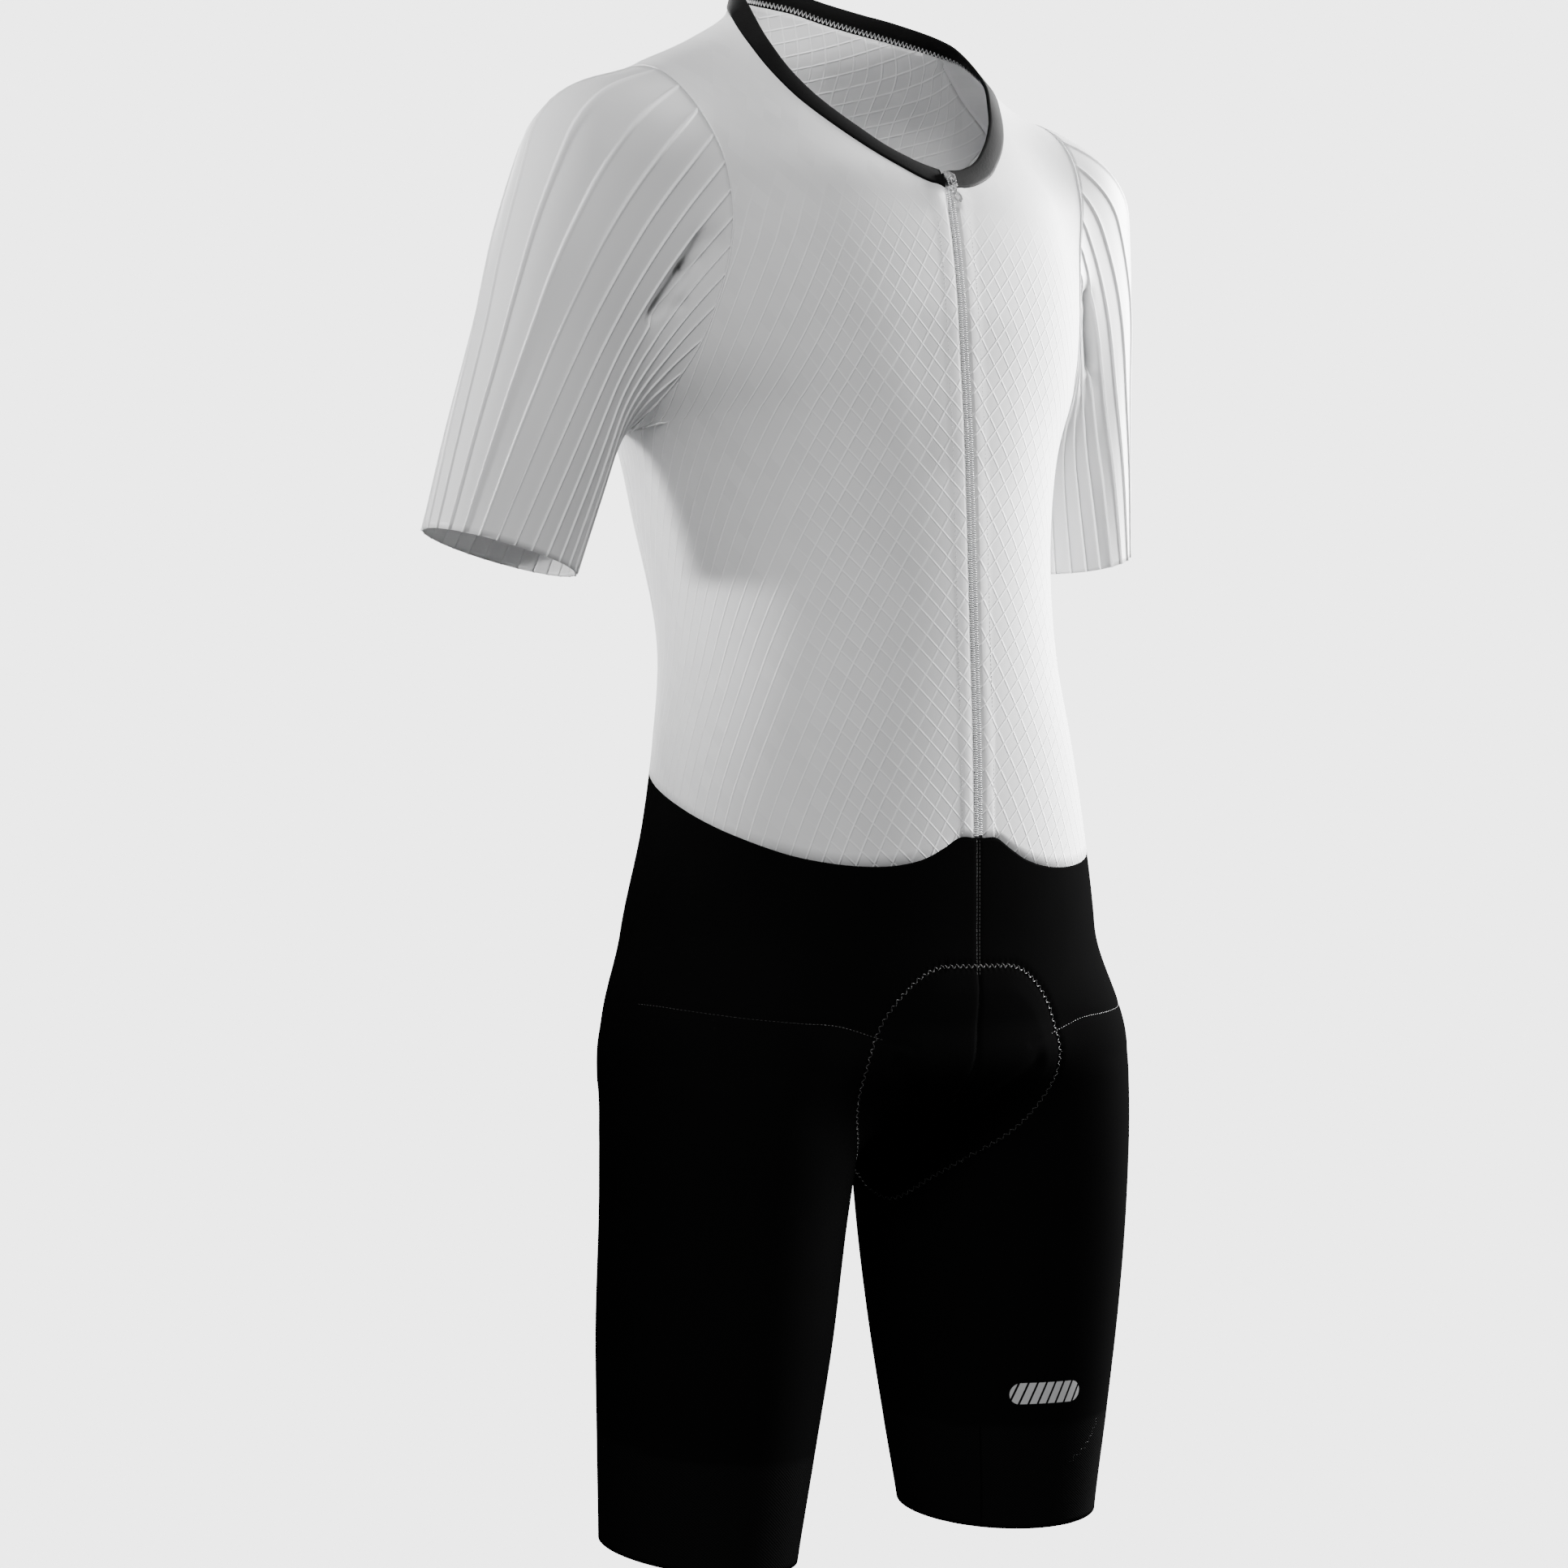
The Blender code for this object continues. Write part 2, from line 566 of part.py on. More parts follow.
# One half of the shorts: round the hip from the centre front to the centre back, and round the leg.
def make_shorts(side, name, upper_rows=7, inner_pieces=9, leg_rows=10):
    pieces = len(WAIST_STEPS) * 2 + BACK_NECK_PIECES
    back = across_back(SIDE_ANGLE, pieces, WAIST)
    half = back[:pieces // 2 + 1] if side < 0 else back[pieces // 2:][::-1]
    waist = np.concatenate([zip_edge(np.array([WAIST[0, 1]]), 0.0), front_waist(side), half[1:]])
    front_fork, back_fork = fork_point([FORK_FRONT, FORK_BACK])
    heights = np.linspace(WAIST[0, 1], front_fork[2], upper_rows + 1)
    centre_front = zip_edge(heights, 0.0)
    centre_front[-1] = front_fork
    heights = np.linspace(half[-1][2], back_fork[2], upper_rows + 1)
    start = np.column_stack([0 * heights, 0 * heights, heights])
    centre_back = leave(start, np.tile((0.0, 1.0, 0.0), (len(heights), 1)))
    centre_back[0] = half[-1]
    centre_back[-1] = back_fork
    hip = hip_row(side, front_fork, back_fork, len(waist))
    upper = patch(waist, hip, centre_front, centre_back)
    inside = fork_point(np.linspace(FORK_BACK, FORK_FRONT, inner_pieces + 1))
    ring = np.concatenate([hip, inside[1:-1]])
    leg = tube(ring, leg_hem(side, ring), leg_rows)
    points, faces = sew([(upper, False), (leg, True)])
    wall(name, points, faces, BLACK, 0.55)


def leg_axis(side, height):
    start, end = np.array(LEG_LINE["top"]), np.array(LEG_LINE["hem"])
    point = start + (end - start) * (height - start[2]) / (end[2] - start[2])
    return point * (side, 1, 1)


def leg_hem(side, ring):
    """The leg's hem, with a point under each point of the ring above it."""
    middle = leg_axis(side, LEG_HEM)
    inner = leg_axis(side, ring[0, 2])
    turn = np.unwrap(np.arctan2(side * (ring[:, 0] - inner[0]), -(ring[:, 1] - inner[1])))
    even = turn[0] + np.linspace(0, 2 * np.pi, len(ring) + 1)[:-1] * np.sign(turn[-1] - turn[0])
    turn = turn + HEM_EVENED * (even - turn)
    heading = np.column_stack([side * np.sin(turn), -np.cos(turn),
                               HEM_RISE_OUT * np.sin(turn) - HEM_RISE_BACK * np.cos(turn)])
    return leave(middle, heading)


# The seat pad is stitched inside the shorts, from low on the belly through the fork to the seat.
def make_pad(steps=4, rows=14):
    angles = np.linspace(PAD[0, 0], PAD[-1, 0], rows + 1)
    middle = fork_point(angles)
    reach = pad_at(angles)[:, 0]
    right = walk(middle, np.tile((-1.0, 0.0, 0.0), (rows + 1, 1)), reach, steps)
    left = walk(middle, np.tile((1.0, 0.0, 0.0), (rows + 1, 1)), reach, steps)
    grid = np.concatenate([right[:0:-1], left])
    points, faces = sew([(grid, False)])
    top = -(WALL + PAD_EASE)
    wall("seat_pad", points, faces, PAD_COLOUR, 0.8, outside=top, inside=top - PAD_WALL)


def tape_grid(side, lower, upper, collar):
    """A zip tape's points: the front's own first columns, the collar's end above them, and the zip's
    centre line beside them."""
    end = collar[1:, :2] if side < 0 else collar[1:, :-3:-1]
    edge = np.concatenate([lower[:, :2], upper[1:ZIP_ROWS + 1, :2], end])
    edge[:, 1] = edge[:, 0] + TAPE_SHARE * (edge[:, 1] - edge[:, 0])
    centre = zip_edge(edge[:, 0, 2], 0.0)
    return np.concatenate([centre[:, None], edge], axis=1)


# The closed coil of the zip, as one bar with a groove where its two rows of teeth meet.
# across, out from the form
COIL = np.array([(-ZIP_HALF, -WALL), (ZIP_HALF, -WALL), (ZIP_HALF, 0.0), (0.0021, 0.0007),
                 (0.0004, 0.0007), (0.0, 0.0003), (-0.0004, 0.0007), (-0.0021, 0.0007), (-ZIP_HALF, 0.0)])


COIL_END_GAP = 0.0010    # from the shorts at the bottom, and below the tapes' top end


def make_coil(tape, parts=2):
    """The coil's rings stand at the tape's own rows and between them, so that neither cuts the other."""
    rows = parts * (len(tape) - 1)
    heights = np.interp(np.arange(rows + 1) / parts, np.arange(len(tape)), tape[:, 0, 2])
    heights[[0, -1]] += COIL_END_GAP, -COIL_END_GAP
    path = zip_edge(heights, 0.0)
    n = outward(path)
    rings = path[:, None] + COIL[None, :, :1] * np.array((1.0, 0.0, 0.0)) + COIL[None, :, 1:] * n[:, None]
    count = len(COIL)
    faces = [list(f) for f in grid_faces(rows + 1, count, True)]
    faces += [list(range(count)), list(range(rows * count, (rows + 1) * count))[::-1]]
    finish("zip_coil", rings.reshape(-1, 3), faces, WHITE, 0.4)


# The slider stands at the top of the coil. In its own frame x is across, y up the zip and z out.
SLIDER_HEIGHT = -0.1125
SLIDER_BASE = 0.0011
SLIDER_TOP = 0.0031
BRIDGE_HALF = 0.0009
PIN_HEIGHT = SLIDER_TOP + 0.00115
WINDOW_HALF = 0.0012
BRIDGE_WALL = 0.0010
BRIDGE_SUNK = 0.0006     # how far its feet run into the slider
BRIDGE_CORNER = 0.0005
PULL_LENGTH = 0.0160
PULL_WIDTH = 0.0070
PULL_WALL = 0.0012
EYE_WIDTH = 0.0046
EYE_HOLE = (0.0026, 0.0033)   # across, along
PIN_HALF = 0.0005
EYE_RIM = 0.0004         # more metal below the eye's hole than the bar above it has
PULL_NECK = 0.0011       # half of its width
PULL_SLANT = 0.0010      # the length over which the eye narrows to the neck
RING_HOLE = 0.57         # the ring's hole, as a share of its radius
PULL_TILT = radians(3)

# across, along: half of the slider's outline, wide at the top
SLIDER_OUTLINE = [(0.0022, -0.0052), (0.0030, -0.0046), (0.0032, -0.0010), (0.0042, 0.0016),
                  (0.0042, 0.0040), (0.0034, 0.0050), (0.0014, 0.0054)]


def slider_frame():
    """The slider's place: its origin on the form and its axes across, along and out."""
    heights = np.array([SLIDER_HEIGHT - 0.004, SLIDER_HEIGHT, SLIDER_HEIGHT + 0.004])
    low, middle, high = (Vector(p) for p in zip_edge(heights, 0.0))
    along = (high - low).normalized()
    across = Vector((1.0, 0.0, 0.0))
    out = across.cross(along)
    return Matrix.Translation(middle) @ Matrix((across, along, out)).transposed().to_4x4()


def prism(name, outline, low, high, swap=False):
    """A flat outline given a thickness; swap sets it upright, along the zip and out."""
    count = len(outline)
    points = [(low, a, b) if swap else (a, b, low) for a, b in outline]
    points += [(high, a, b) if swap else (a, b, high) for a, b in outline]
    faces = [list(range(count))[::-1], list(range(count, 2 * count))]
    faces += [[i, (i + 1) % count, (i + 1) % count + count, i + count] for i in range(count)]
    thing = finish(name, np.array(points), faces, STEEL, 0.3, 1.0)
    thing.data.shade_flat()
    return thing


def hide_tool(thing):
    thing.hide_render = True
    thing.display_type = "WIRE"


def cut(thing, tool, operation):
    hide_tool(tool)
    change = thing.modifiers.new(tool.name, "BOOLEAN")
    change.operation = operation
    change.object = tool


def make_slider():
    outline = SLIDER_OUTLINE + [(-a, b) for a, b in SLIDER_OUTLINE[::-1]]
    body = prism("zip_slider", outline, SLIDER_BASE, SLIDER_TOP)
    body.matrix_world = slider_frame()
    leg = WINDOW_HALF + BRIDGE_WALL
    foot = SLIDER_TOP - BRIDGE_SUNK
    roof = PIN_HEIGHT + WINDOW_HALF
    crown = roof + BRIDGE_WALL
    arch = [(-leg, foot), (-WINDOW_HALF, foot), (-WINDOW_HALF, roof), (WINDOW_HALF, roof), (WINDOW_HALF, foot),
            (leg, foot), (leg, crown - BRIDGE_CORNER), (leg - BRIDGE_CORNER, crown),
            (BRIDGE_CORNER - leg, crown), (-leg, crown - BRIDGE_CORNER)]
    bridge = prism("bridge", arch, -BRIDGE_HALF, BRIDGE_HALF, swap=True)
    bridge.matrix_world = slider_frame()
    cut(body, bridge, "UNION")


# The pull hangs by a bar under the slider's bridge: an eye, a short neck and a flat ring.
def make_pull(ring_points=28):
    radius = PULL_WIDTH / 2
    centre = -(PULL_LENGTH - PIN_HALF - radius)
    eye_end = -(EYE_HOLE[1] + 2 * PIN_HALF + EYE_RIM)
    first = np.pi / 2 - np.arcsin(PULL_NECK / radius)
    turn = np.linspace(first, -np.pi - first, ring_points)
    ring = [(radius * cos(t), centre + radius * sin(t)) for t in turn]
    outline = [(-EYE_WIDTH / 2, PIN_HALF), (EYE_WIDTH / 2, PIN_HALF), (EYE_WIDTH / 2, eye_end),
               (PULL_NECK, eye_end - PULL_SLANT), *ring, (-PULL_NECK, eye_end - PULL_SLANT),
               (-EYE_WIDTH / 2, eye_end)]
    pull = prism("zip_pull", outline[::-1], -PULL_WALL / 2, PULL_WALL / 2)
    x, y = EYE_HOLE
    eye = prism("eye", [(-x / 2, -PIN_HALF - y), (x / 2, -PIN_HALF - y), (x / 2, -PIN_HALF), (-x / 2, -PIN_HALF)],
                -PULL_WALL, PULL_WALL)
    turn = np.linspace(0, 2 * np.pi, ring_points, endpoint=False)
    inner = RING_HOLE * radius
    hole = prism("ring_hole", [(inner * cos(t), centre + inner * sin(t)) for t in turn], -PULL_WALL, PULL_WALL)
    place = slider_frame() @ Matrix.Translation((0, 0, PIN_HEIGHT)) @ Matrix.Rotation(PULL_TILT, 4, "X")
    for thing in (pull, eye, hole):
        thing.matrix_world = place
    cut(pull, eye, "DIFFERENCE")
    cut(pull, hole, "DIFFERENCE")


collar = collar_rows()
for side, word in ((-1, "right"), (1, "left")):
    lower, upper = front_grids(side)
    tape = tape_grid(side, lower, upper, collar)
    wall("front_" + word, *sew([(lower, False), (upper, False)]), WHITE, 0.6)
    wall("zip_tape_" + word, *sew([(tape, False)]), WHITE, 0.6, outside=TAPE_TOP, inside=TAPE_TOP - TAPE_WALL)
    make_sleeve(side, "sleeve_" + word)
    make_shorts(side, "shorts_" + word)
make_back()
wall("collar", *sew([(collar, False)]), BLACK, 0.7, outside=COLLAR_LIFT)
make_pad()
make_coil(tape)
make_slider()
make_pull()
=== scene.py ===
"""The looks of a short-sleeved cycling skinsuit in its worn form: sheer white fronts and back with a raised
grid, ribbed white sleeves, a black collar band, a full zip, and black shorts with grippers and a seat pad.

Metres, +Z up. The zipped front faces -Y, and the wearer's right is -X."""
from math import radians

import bmesh
import bpy
import numpy as np
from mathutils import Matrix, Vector


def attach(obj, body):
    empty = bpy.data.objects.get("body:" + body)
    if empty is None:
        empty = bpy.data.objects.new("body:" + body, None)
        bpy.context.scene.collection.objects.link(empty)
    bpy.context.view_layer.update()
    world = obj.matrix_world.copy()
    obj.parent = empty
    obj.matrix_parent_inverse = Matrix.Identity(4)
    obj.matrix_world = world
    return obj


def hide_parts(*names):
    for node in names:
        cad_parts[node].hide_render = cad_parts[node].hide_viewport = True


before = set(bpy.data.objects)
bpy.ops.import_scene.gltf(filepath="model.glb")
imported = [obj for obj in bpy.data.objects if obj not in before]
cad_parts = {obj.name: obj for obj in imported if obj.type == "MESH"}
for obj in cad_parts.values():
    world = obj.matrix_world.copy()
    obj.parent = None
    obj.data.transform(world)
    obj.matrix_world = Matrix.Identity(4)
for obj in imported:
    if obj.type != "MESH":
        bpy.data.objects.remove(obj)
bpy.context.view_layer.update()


# Camera, light and floor
# The view is the photograph's: level with the waist, from the front and the wearer's right, through a long
# lens. Soft lights stand behind on both sides, with weaker ones near and above and two narrow ones.
IMAGE = 1932                        # the frame's side, in pixels
FOCAL = 4620                        # in the same pixels
CENTRE = (1056, 1079)               # where the lens points
SENSOR = 36.0
VIEW_ANGLE = radians(-43)
VIEW_DISTANCE = 2.20
VIEW_HEIGHT = -0.509
FLOOR = -1.60
BACKDROP = 4.0                      # how brightly the floor and the backdrop show
AMBIENT = 0.20

sight = Vector((-np.sin(VIEW_ANGLE), np.cos(VIEW_ANGLE), 0.0))
to_right = Vector((np.cos(VIEW_ANGLE), np.sin(VIEW_ANGLE), 0.0))
lens = bpy.data.cameras.new("camera")
lens.sensor_width = SENSOR
lens.lens = FOCAL / IMAGE * SENSOR
lens.shift_x = (IMAGE / 2 - CENTRE[0]) / IMAGE
lens.shift_y = (CENTRE[1] - IMAGE / 2) / IMAGE
camera = bpy.data.objects.new("camera", lens)
camera.location = -VIEW_DISTANCE * sight + Vector((0, 0, VIEW_HEIGHT))
camera.rotation_euler = sight.to_track_quat("-Z", "Y").to_euler()
bpy.context.scene.collection.objects.link(camera)
bpy.context.scene.camera = camera


def softbox(name, ahead, right, height, size, watts, aim=-0.40):
    """A square light at this place from the suit's middle, along and across the view, turned to the suit."""
    light = bpy.data.lights.new(name, "AREA")
    light.size = size
    light.energy = watts
    lamp = bpy.data.objects.new(name, light)
    lamp.location = ahead * sight + right * to_right + Vector((0, 0, height))
    lamp.rotation_euler = (Vector((0, 0, aim)) - lamp.location).to_track_quat("-Z", "Y").to_euler()
    bpy.context.scene.collection.objects.link(lamp)


softbox("light_right", 1.75, 2.0, 0.3, 1.5, 760)
softbox("light_left_behind", 2.5, -1.1, 0.3, 1.2, 75)
softbox("light_near", -2.6, 0.1, 1.25, 0.9, 58)
softbox("light_above", 0.2, 0.3, 2.2, 1.8, 26)


def narrow_light(name, watts, cone, blend, radius, ahead, right, height, aim):
    """A spot light at this place, along and across the view, aimed at one point of the suit."""
    beam = bpy.data.lights.new(name, "SPOT")
    beam.energy = watts
    beam.spot_size = radians(cone)
    beam.spot_blend = blend
    beam.shadow_soft_size = radius
    lamp = bpy.data.objects.new(name, beam)
    lamp.location = ahead * sight + right * to_right + Vector((0, 0, height))
    lamp.rotation_euler = (Vector(aim) - lamp.location).to_track_quat("-Z", "Y").to_euler()
    bpy.context.scene.collection.objects.link(lamp)


# one from the left on the near sleeve, and one from above, through the neck onto the inside of the back
narrow_light("light_sleeve", 1400, 12, 1.0, 0.34, -0.05, -1.8, -0.05, (-0.215, 0.03, -0.135))
narrow_light("light_neck", 130, 7, 0.6, 0.05, -1.0, 0.2, 1.05, (0.02, 0.07, -0.07))

world = bpy.data.worlds.new("studio")
world.use_nodes = True
world.node_tree.nodes["Background"].inputs["Color"].default_value = (0.80, 0.81, 0.82, 1)
world.node_tree.nodes["Background"].inputs["Strength"].default_value = AMBIENT
bpy.context.scene.world = world


def plain_stage(name, points, faces):
    """A stage surface that shows one pale colour and lights nothing."""
    mesh = bpy.data.meshes.new(name)
    mesh.from_pydata(points, [], faces)
    thing = bpy.data.objects.new(name, mesh)
    bpy.context.scene.collection.objects.link(thing)
    material = bpy.data.materials.new(name)
    material.use_nodes = True
    shader = material.node_tree.nodes["Principled BSDF"]
    shader.inputs["Base Color"].default_value = (0, 0, 0, 1)
    shader.inputs["Specular IOR Level"].default_value = 0.0
    shader.inputs["Emission Color"].default_value = (1, 1, 1, 1)
    shader.inputs["Emission Strength"].default_value = BACKDROP
    mesh.materials.append(material)
    for way in ("diffuse", "glossy", "transmission", "volume_scatter", "shadow"):
        setattr(thing, "visible_" + way, False)


REACH = 14.0                        # half the stage's side
corners = [(-REACH, -REACH), (REACH, -REACH), (REACH, REACH), (-REACH, REACH)]
plain_stage("floor", [(x, y, FLOOR) for x, y in corners], [(0, 1, 2, 3)])
plain_stage("backdrop", [(x, y, z) for z in (FLOOR, REACH) for x, y in corners],
            [(k, (k + 1) % 4, (k + 1) % 4 + 4, k + 4) for k in range(4)] + [(4, 5, 6, 7)])


# The two fronts
# White warp knit, thin enough to show what lies behind it, with a fine raised grid of slanting lines. Each
# front is one piece from the zip round to the side seam and over the shoulder, topstitched along the zip.
CLOTH = 0.0009                      # the knit itself
SEAM_GAP = 0.0003
ZIP_HALF = 0.0032
ZIP_EDGE = ZIP_HALF + SEAM_GAP / 2
RIBS = 28
AXIS_Y = 0.020                      # the upright line that angles round the body are taken from

# height, half width, front, back, line of the widest point, squareness
TRUNK = np.array([
    (0.040, 0.058, -0.020, 0.085, 0.004, 1.7),
    (0.010, 0.072, -0.030, 0.087, 0.004, 1.6),
    (-0.012, 0.084, -0.036, 0.090, 0.006, 1.65),
    (-0.030, 0.109, -0.038, 0.098, 0.014, 1.8),
    (-0.046, 0.136, -0.036, 0.103, 0.020, 2.1),
    (-0.064, 0.150, -0.043, 0.110, 0.020, 2.3),
    (-0.090, 0.160, -0.060, 0.117, 0.020, 2.4),
    (-0.112, 0.162, -0.0755, 0.122, 0.020, 2.4),
    (-0.130, 0.163, -0.080, 0.126, 0.020, 2.4),
    (-0.175, 0.162, -0.087, 0.130, 0.020, 2.4),
    (-0.220, 0.157, -0.0905, 0.128, 0.019, 2.3),
    (-0.255, 0.140, -0.093, 0.124, 0.016, 2.25),
    (-0.300, 0.130, -0.095, 0.118, 0.012, 2.2),
    (-0.380, 0.127, -0.098, 0.094, -0.002, 2.2),
    (-0.430, 0.138, -0.100, 0.086, -0.008, 2.2),
    (-0.480, 0.149, -0.101, 0.084, -0.010, 2.2),
    (-0.540, 0.160, -0.101, 0.094, -0.008, 2.25),
    (-0.590, 0.164, -0.100, 0.100, -0.006, 2.25),
    (-0.625, 0.158, -0.092, 0.096, -0.004, 2.2),
    (-0.650, 0.115, -0.060, 0.080, 0.000, 2.0),
    (-0.668, 0.050, -0.025, 0.045, 0.006, 2.0),
    (-0.678, 0.020, -0.010, 0.020, 0.006, 2.0),
])
SLEEVE_LINE = {
    -1: dict(top=(-0.174, 0.019, -0.116), hem=(-0.2290, 0.045, -0.330), long=(1.0, 0.0, 0.0), first=0.0),
    1: dict(top=(0.170, 0.010, -0.105), hem=(0.2195, 0.046, -0.308), long=(1.0, 0.0, 0.0), first=0.0),
}
LEG_LINE = dict(top=(0.103, -0.006, -0.640), hem=(0.120, 0.004, -0.900), long=(0.766, -0.643, 0.0),
                first=-0.1)
BEYOND_HEM = 1.3
# share of the way from top to hem, long radius, short radius
SLEEVE_RADII = np.array([(0.00, 0.0500, 0.0500), (0.25, 0.0505, 0.0505), (0.50, 0.0475, 0.0475),
                         (0.75, 0.0460, 0.0460), (1.00, 0.0440, 0.0440), (BEYOND_HEM, 0.0430, 0.0430)])
LEG_RADII = np.array([(-0.30, 0.0800, 0.0720), (0.00, 0.0850, 0.0740), (0.25, 0.0825, 0.0700),
                      (0.50, 0.0765, 0.0670), (0.75, 0.0680, 0.0615), (1.00, 0.0590, 0.0560),
                      (BEYOND_HEM, 0.0550, 0.0530)])
SHOULDER_BLEND = 0.046
CROTCH_BLEND = 0.024
# start x, y, z and end x, y, z on the right side, half width, depth; the left side has its like
FOLDS = np.array([
    (-0.150, -0.044, -0.160, -0.172, -0.030, -0.206, 0.0075, 0.0042),
    (-0.158, -0.050, -0.178, -0.176, -0.024, -0.226, 0.0060, 0.0030),
    (-0.150, 0.090, -0.150, -0.172, 0.070, -0.205, 0.0080, 0.0036),
    (-0.156, 0.100, -0.176, -0.174, 0.066, -0.222, 0.0065, 0.0028),
])
# finer creases in the cloth: which side (0 for both), then as above
CREASES = np.array([
    (-1, -0.1529, -0.0366, -0.1575, -0.1604, -0.0308, -0.1746, 0.0028, 0.0042),
    (-1, -0.1604, -0.0308, -0.1746, -0.1738, -0.0218, -0.2001, 0.0034, 0.0060),
    (-1, -0.1500, -0.0350, -0.1672, -0.1585, -0.0322, -0.1735, 0.0026, 0.0013),
    (-1, -0.1560, -0.0250, -0.1925, -0.1700, -0.0236, -0.1950, 0.0030, 0.0015),
    (1, 0.1540, -0.0370, -0.1560, 0.1610, -0.0310, -0.1730, 0.0030, 0.0038),
    (1, 0.1610, -0.0310, -0.1730, 0.1730, -0.0230, -0.1960, 0.0036, 0.0052),
    (1, 0.1520, -0.0340, -0.1700, 0.1600, -0.0300, -0.1780, 0.0028, 0.0012),
    (-1, -0.1560, 0.0760, -0.1600, -0.1640, 0.0700, -0.1800, 0.0034, 0.0022),
    (-1, -0.1640, 0.0700, -0.1800, -0.1720, 0.0620, -0.2020, 0.0038, 0.0030),
    (1, 0.1550, 0.0780, -0.1540, 0.1630, 0.0700, -0.1760, 0.0036, 0.0024),
    (1, 0.1630, 0.0700, -0.1760, 0.1700, 0.0640, -0.1960, 0.0040, 0.0026),
    (-1, -0.0900, 0.1050, -0.3650, -0.0300, 0.1000, -0.3780, 0.0090, 0.0014),
    (1, 0.0250, 0.0980, -0.3900, 0.0950, 0.0960, -0.3720, 0.0100, 0.0012),
    (-1, -0.0200, 0.0960, -0.4060, -0.0800, 0.0920, -0.3980, 0.0080, 0.0010),
    (-1, -0.0500, 0.0750, -0.6480, -0.1350, 0.0650, -0.6560, 0.0075, 0.0022),
    (1, 0.0480, 0.0750, -0.6500, 0.1300, 0.0670, -0.6600, 0.0080, 0.0020),
    (-1, -0.0300, -0.0740, -0.6250, -0.0560, -0.0850, -0.6120, 0.0050, 0.0016),
    (1, 0.0300, -0.0740, -0.6270, 0.0540, -0.0850, -0.6140, 0.0055, 0.0015),
])
# angle round the body from the front centre, height
WAIST = np.array([(0, -0.4875), (7, -0.4875), (12, -0.4930), (18, -0.4990), (26, -0.5030), (36, -0.5040),
                  (46, -0.5010), (56, -0.4945), (66, -0.4840), (78, -0.4700), (92, -0.4550), (108, -0.4430),
                  (130, -0.4330), (155, -0.4280), (180, -0.4270)])
NECKLINE = np.array([(0, -0.1160), (12, -0.1125), (23, -0.1050), (38, -0.0905), (50, -0.0760), (60, -0.0605),
                     (68, -0.0430), (76, -0.0270), (86, -0.0155), (98, -0.0085), (115, -0.0020), (140, 0.0060),
                     (165, 0.0135), (180, 0.0150)])
SIDE_ANGLE = 108
CORNER_ANGLE = 88
CHEST = -0.236
ARMHOLE_CENTRE = (0.1455, 0.020, -0.145)
ARMHOLE_UNDER = 0.0005
ARMHOLE_SCOOP = 0.0080
SIDE_STEP = -3
SHOULDER_STEP = 15
WAIST_STEPS = [7, 13, 20, 30, 42, 54, 68, 82, 95, SIDE_ANGLE]
NECK_STEPS = [13, 25, 36, 46, 55, 63, 70, 78, CORNER_ANGLE]
BACK_NECK_PIECES = 10
LOWER_ROWS = 8
ZIP_ROWS = SHOULDER_STEP - SIDE_STEP - len(NECK_STEPS)


def smooth(table):
    """Cubic pieces through a table's rows, with the neighbouring rows' slopes, for every column after the
    first."""
    x, y = table[:, 0], table[:, 1:]
    tangent = np.gradient(y, x, axis=0)

    def at(t):
        t = np.clip(t, x[0], x[-1])
        i = np.clip(np.searchsorted(x, t, side="right") - 1, 0, len(x) - 2)
        h = (x[i + 1] - x[i])[:, None]
        s = (t - x[i])[:, None] / h
        return ((2 * s**3 - 3 * s**2 + 1) * y[i] + (s**3 - 2 * s**2 + s) * h * tangent[i]
                + (3 * s**2 - 2 * s**3) * y[i + 1] + (s**3 - s**2) * h * tangent[i + 1])
    return at


trunk_at, sleeve_at, leg_at = smooth(TRUNK[::-1]), smooth(SLEEVE_RADII), smooth(LEG_RADII)


def trunk_distance(p):
    """How far a point lies outside the trunk's level sections, which are superellipses with a front and a
    back half: its distance from the section's middle, less the same divided by its share of the section."""
    def beyond(z):
        width, front, back, middle, square = trunk_at(z).T
        y = p[:, 1] - middle
        depth = np.where(y < 0, middle - front, back - middle)
        share = (np.abs(p[:, 0] / width)**square + np.abs(y / depth)**square)**(1 / square)
        size = np.hypot(p[:, 0], y)
        return size - size / np.maximum(share, 1e-9)
    step = 0.004
    steepness = (beyond(p[:, 2] + step) - beyond(p[:, 2] - step)) / (2 * step)
    side = beyond(p[:, 2]) / np.sqrt(1 + steepness**2)
    ends = np.maximum(p[:, 2] - TRUNK[0, 0], TRUNK[-1, 0] - p[:, 2])
    return np.maximum(side, ends)


def tube_distance(p, line, radii_at):
    """Distance from a tube of elliptical section round a straight line, worked out in the same way."""
    start = np.array(line["top"])
    axis = np.array(line["hem"]) - start
    along = unit(axis)
    t = np.clip((p - start) @ axis / (axis @ axis), line["first"], BEYOND_HEM)
    v = p - start - t[:, None] * axis
    wide = np.array(line["long"])
    wide = unit(wide - (wide @ along) * along)
    size = np.linalg.norm(v, axis=1)
    across = v @ wide
    rest = np.sqrt(np.maximum(size**2 - across**2, 0))
    long_radius, short_radius = radii_at(t).T
    share = np.hypot(across / long_radius, rest / short_radius)
    return size - size / np.maximum(share, 1e-9)


def blend(a, b, width):
    """The smaller of two distances, with a soft fillet of this width where they meet."""
    h = np.clip(0.5 + 0.5 * (b - a) / width, 0, 1)
    return b * (1 - h) + a * h - width * h * (1 - h)


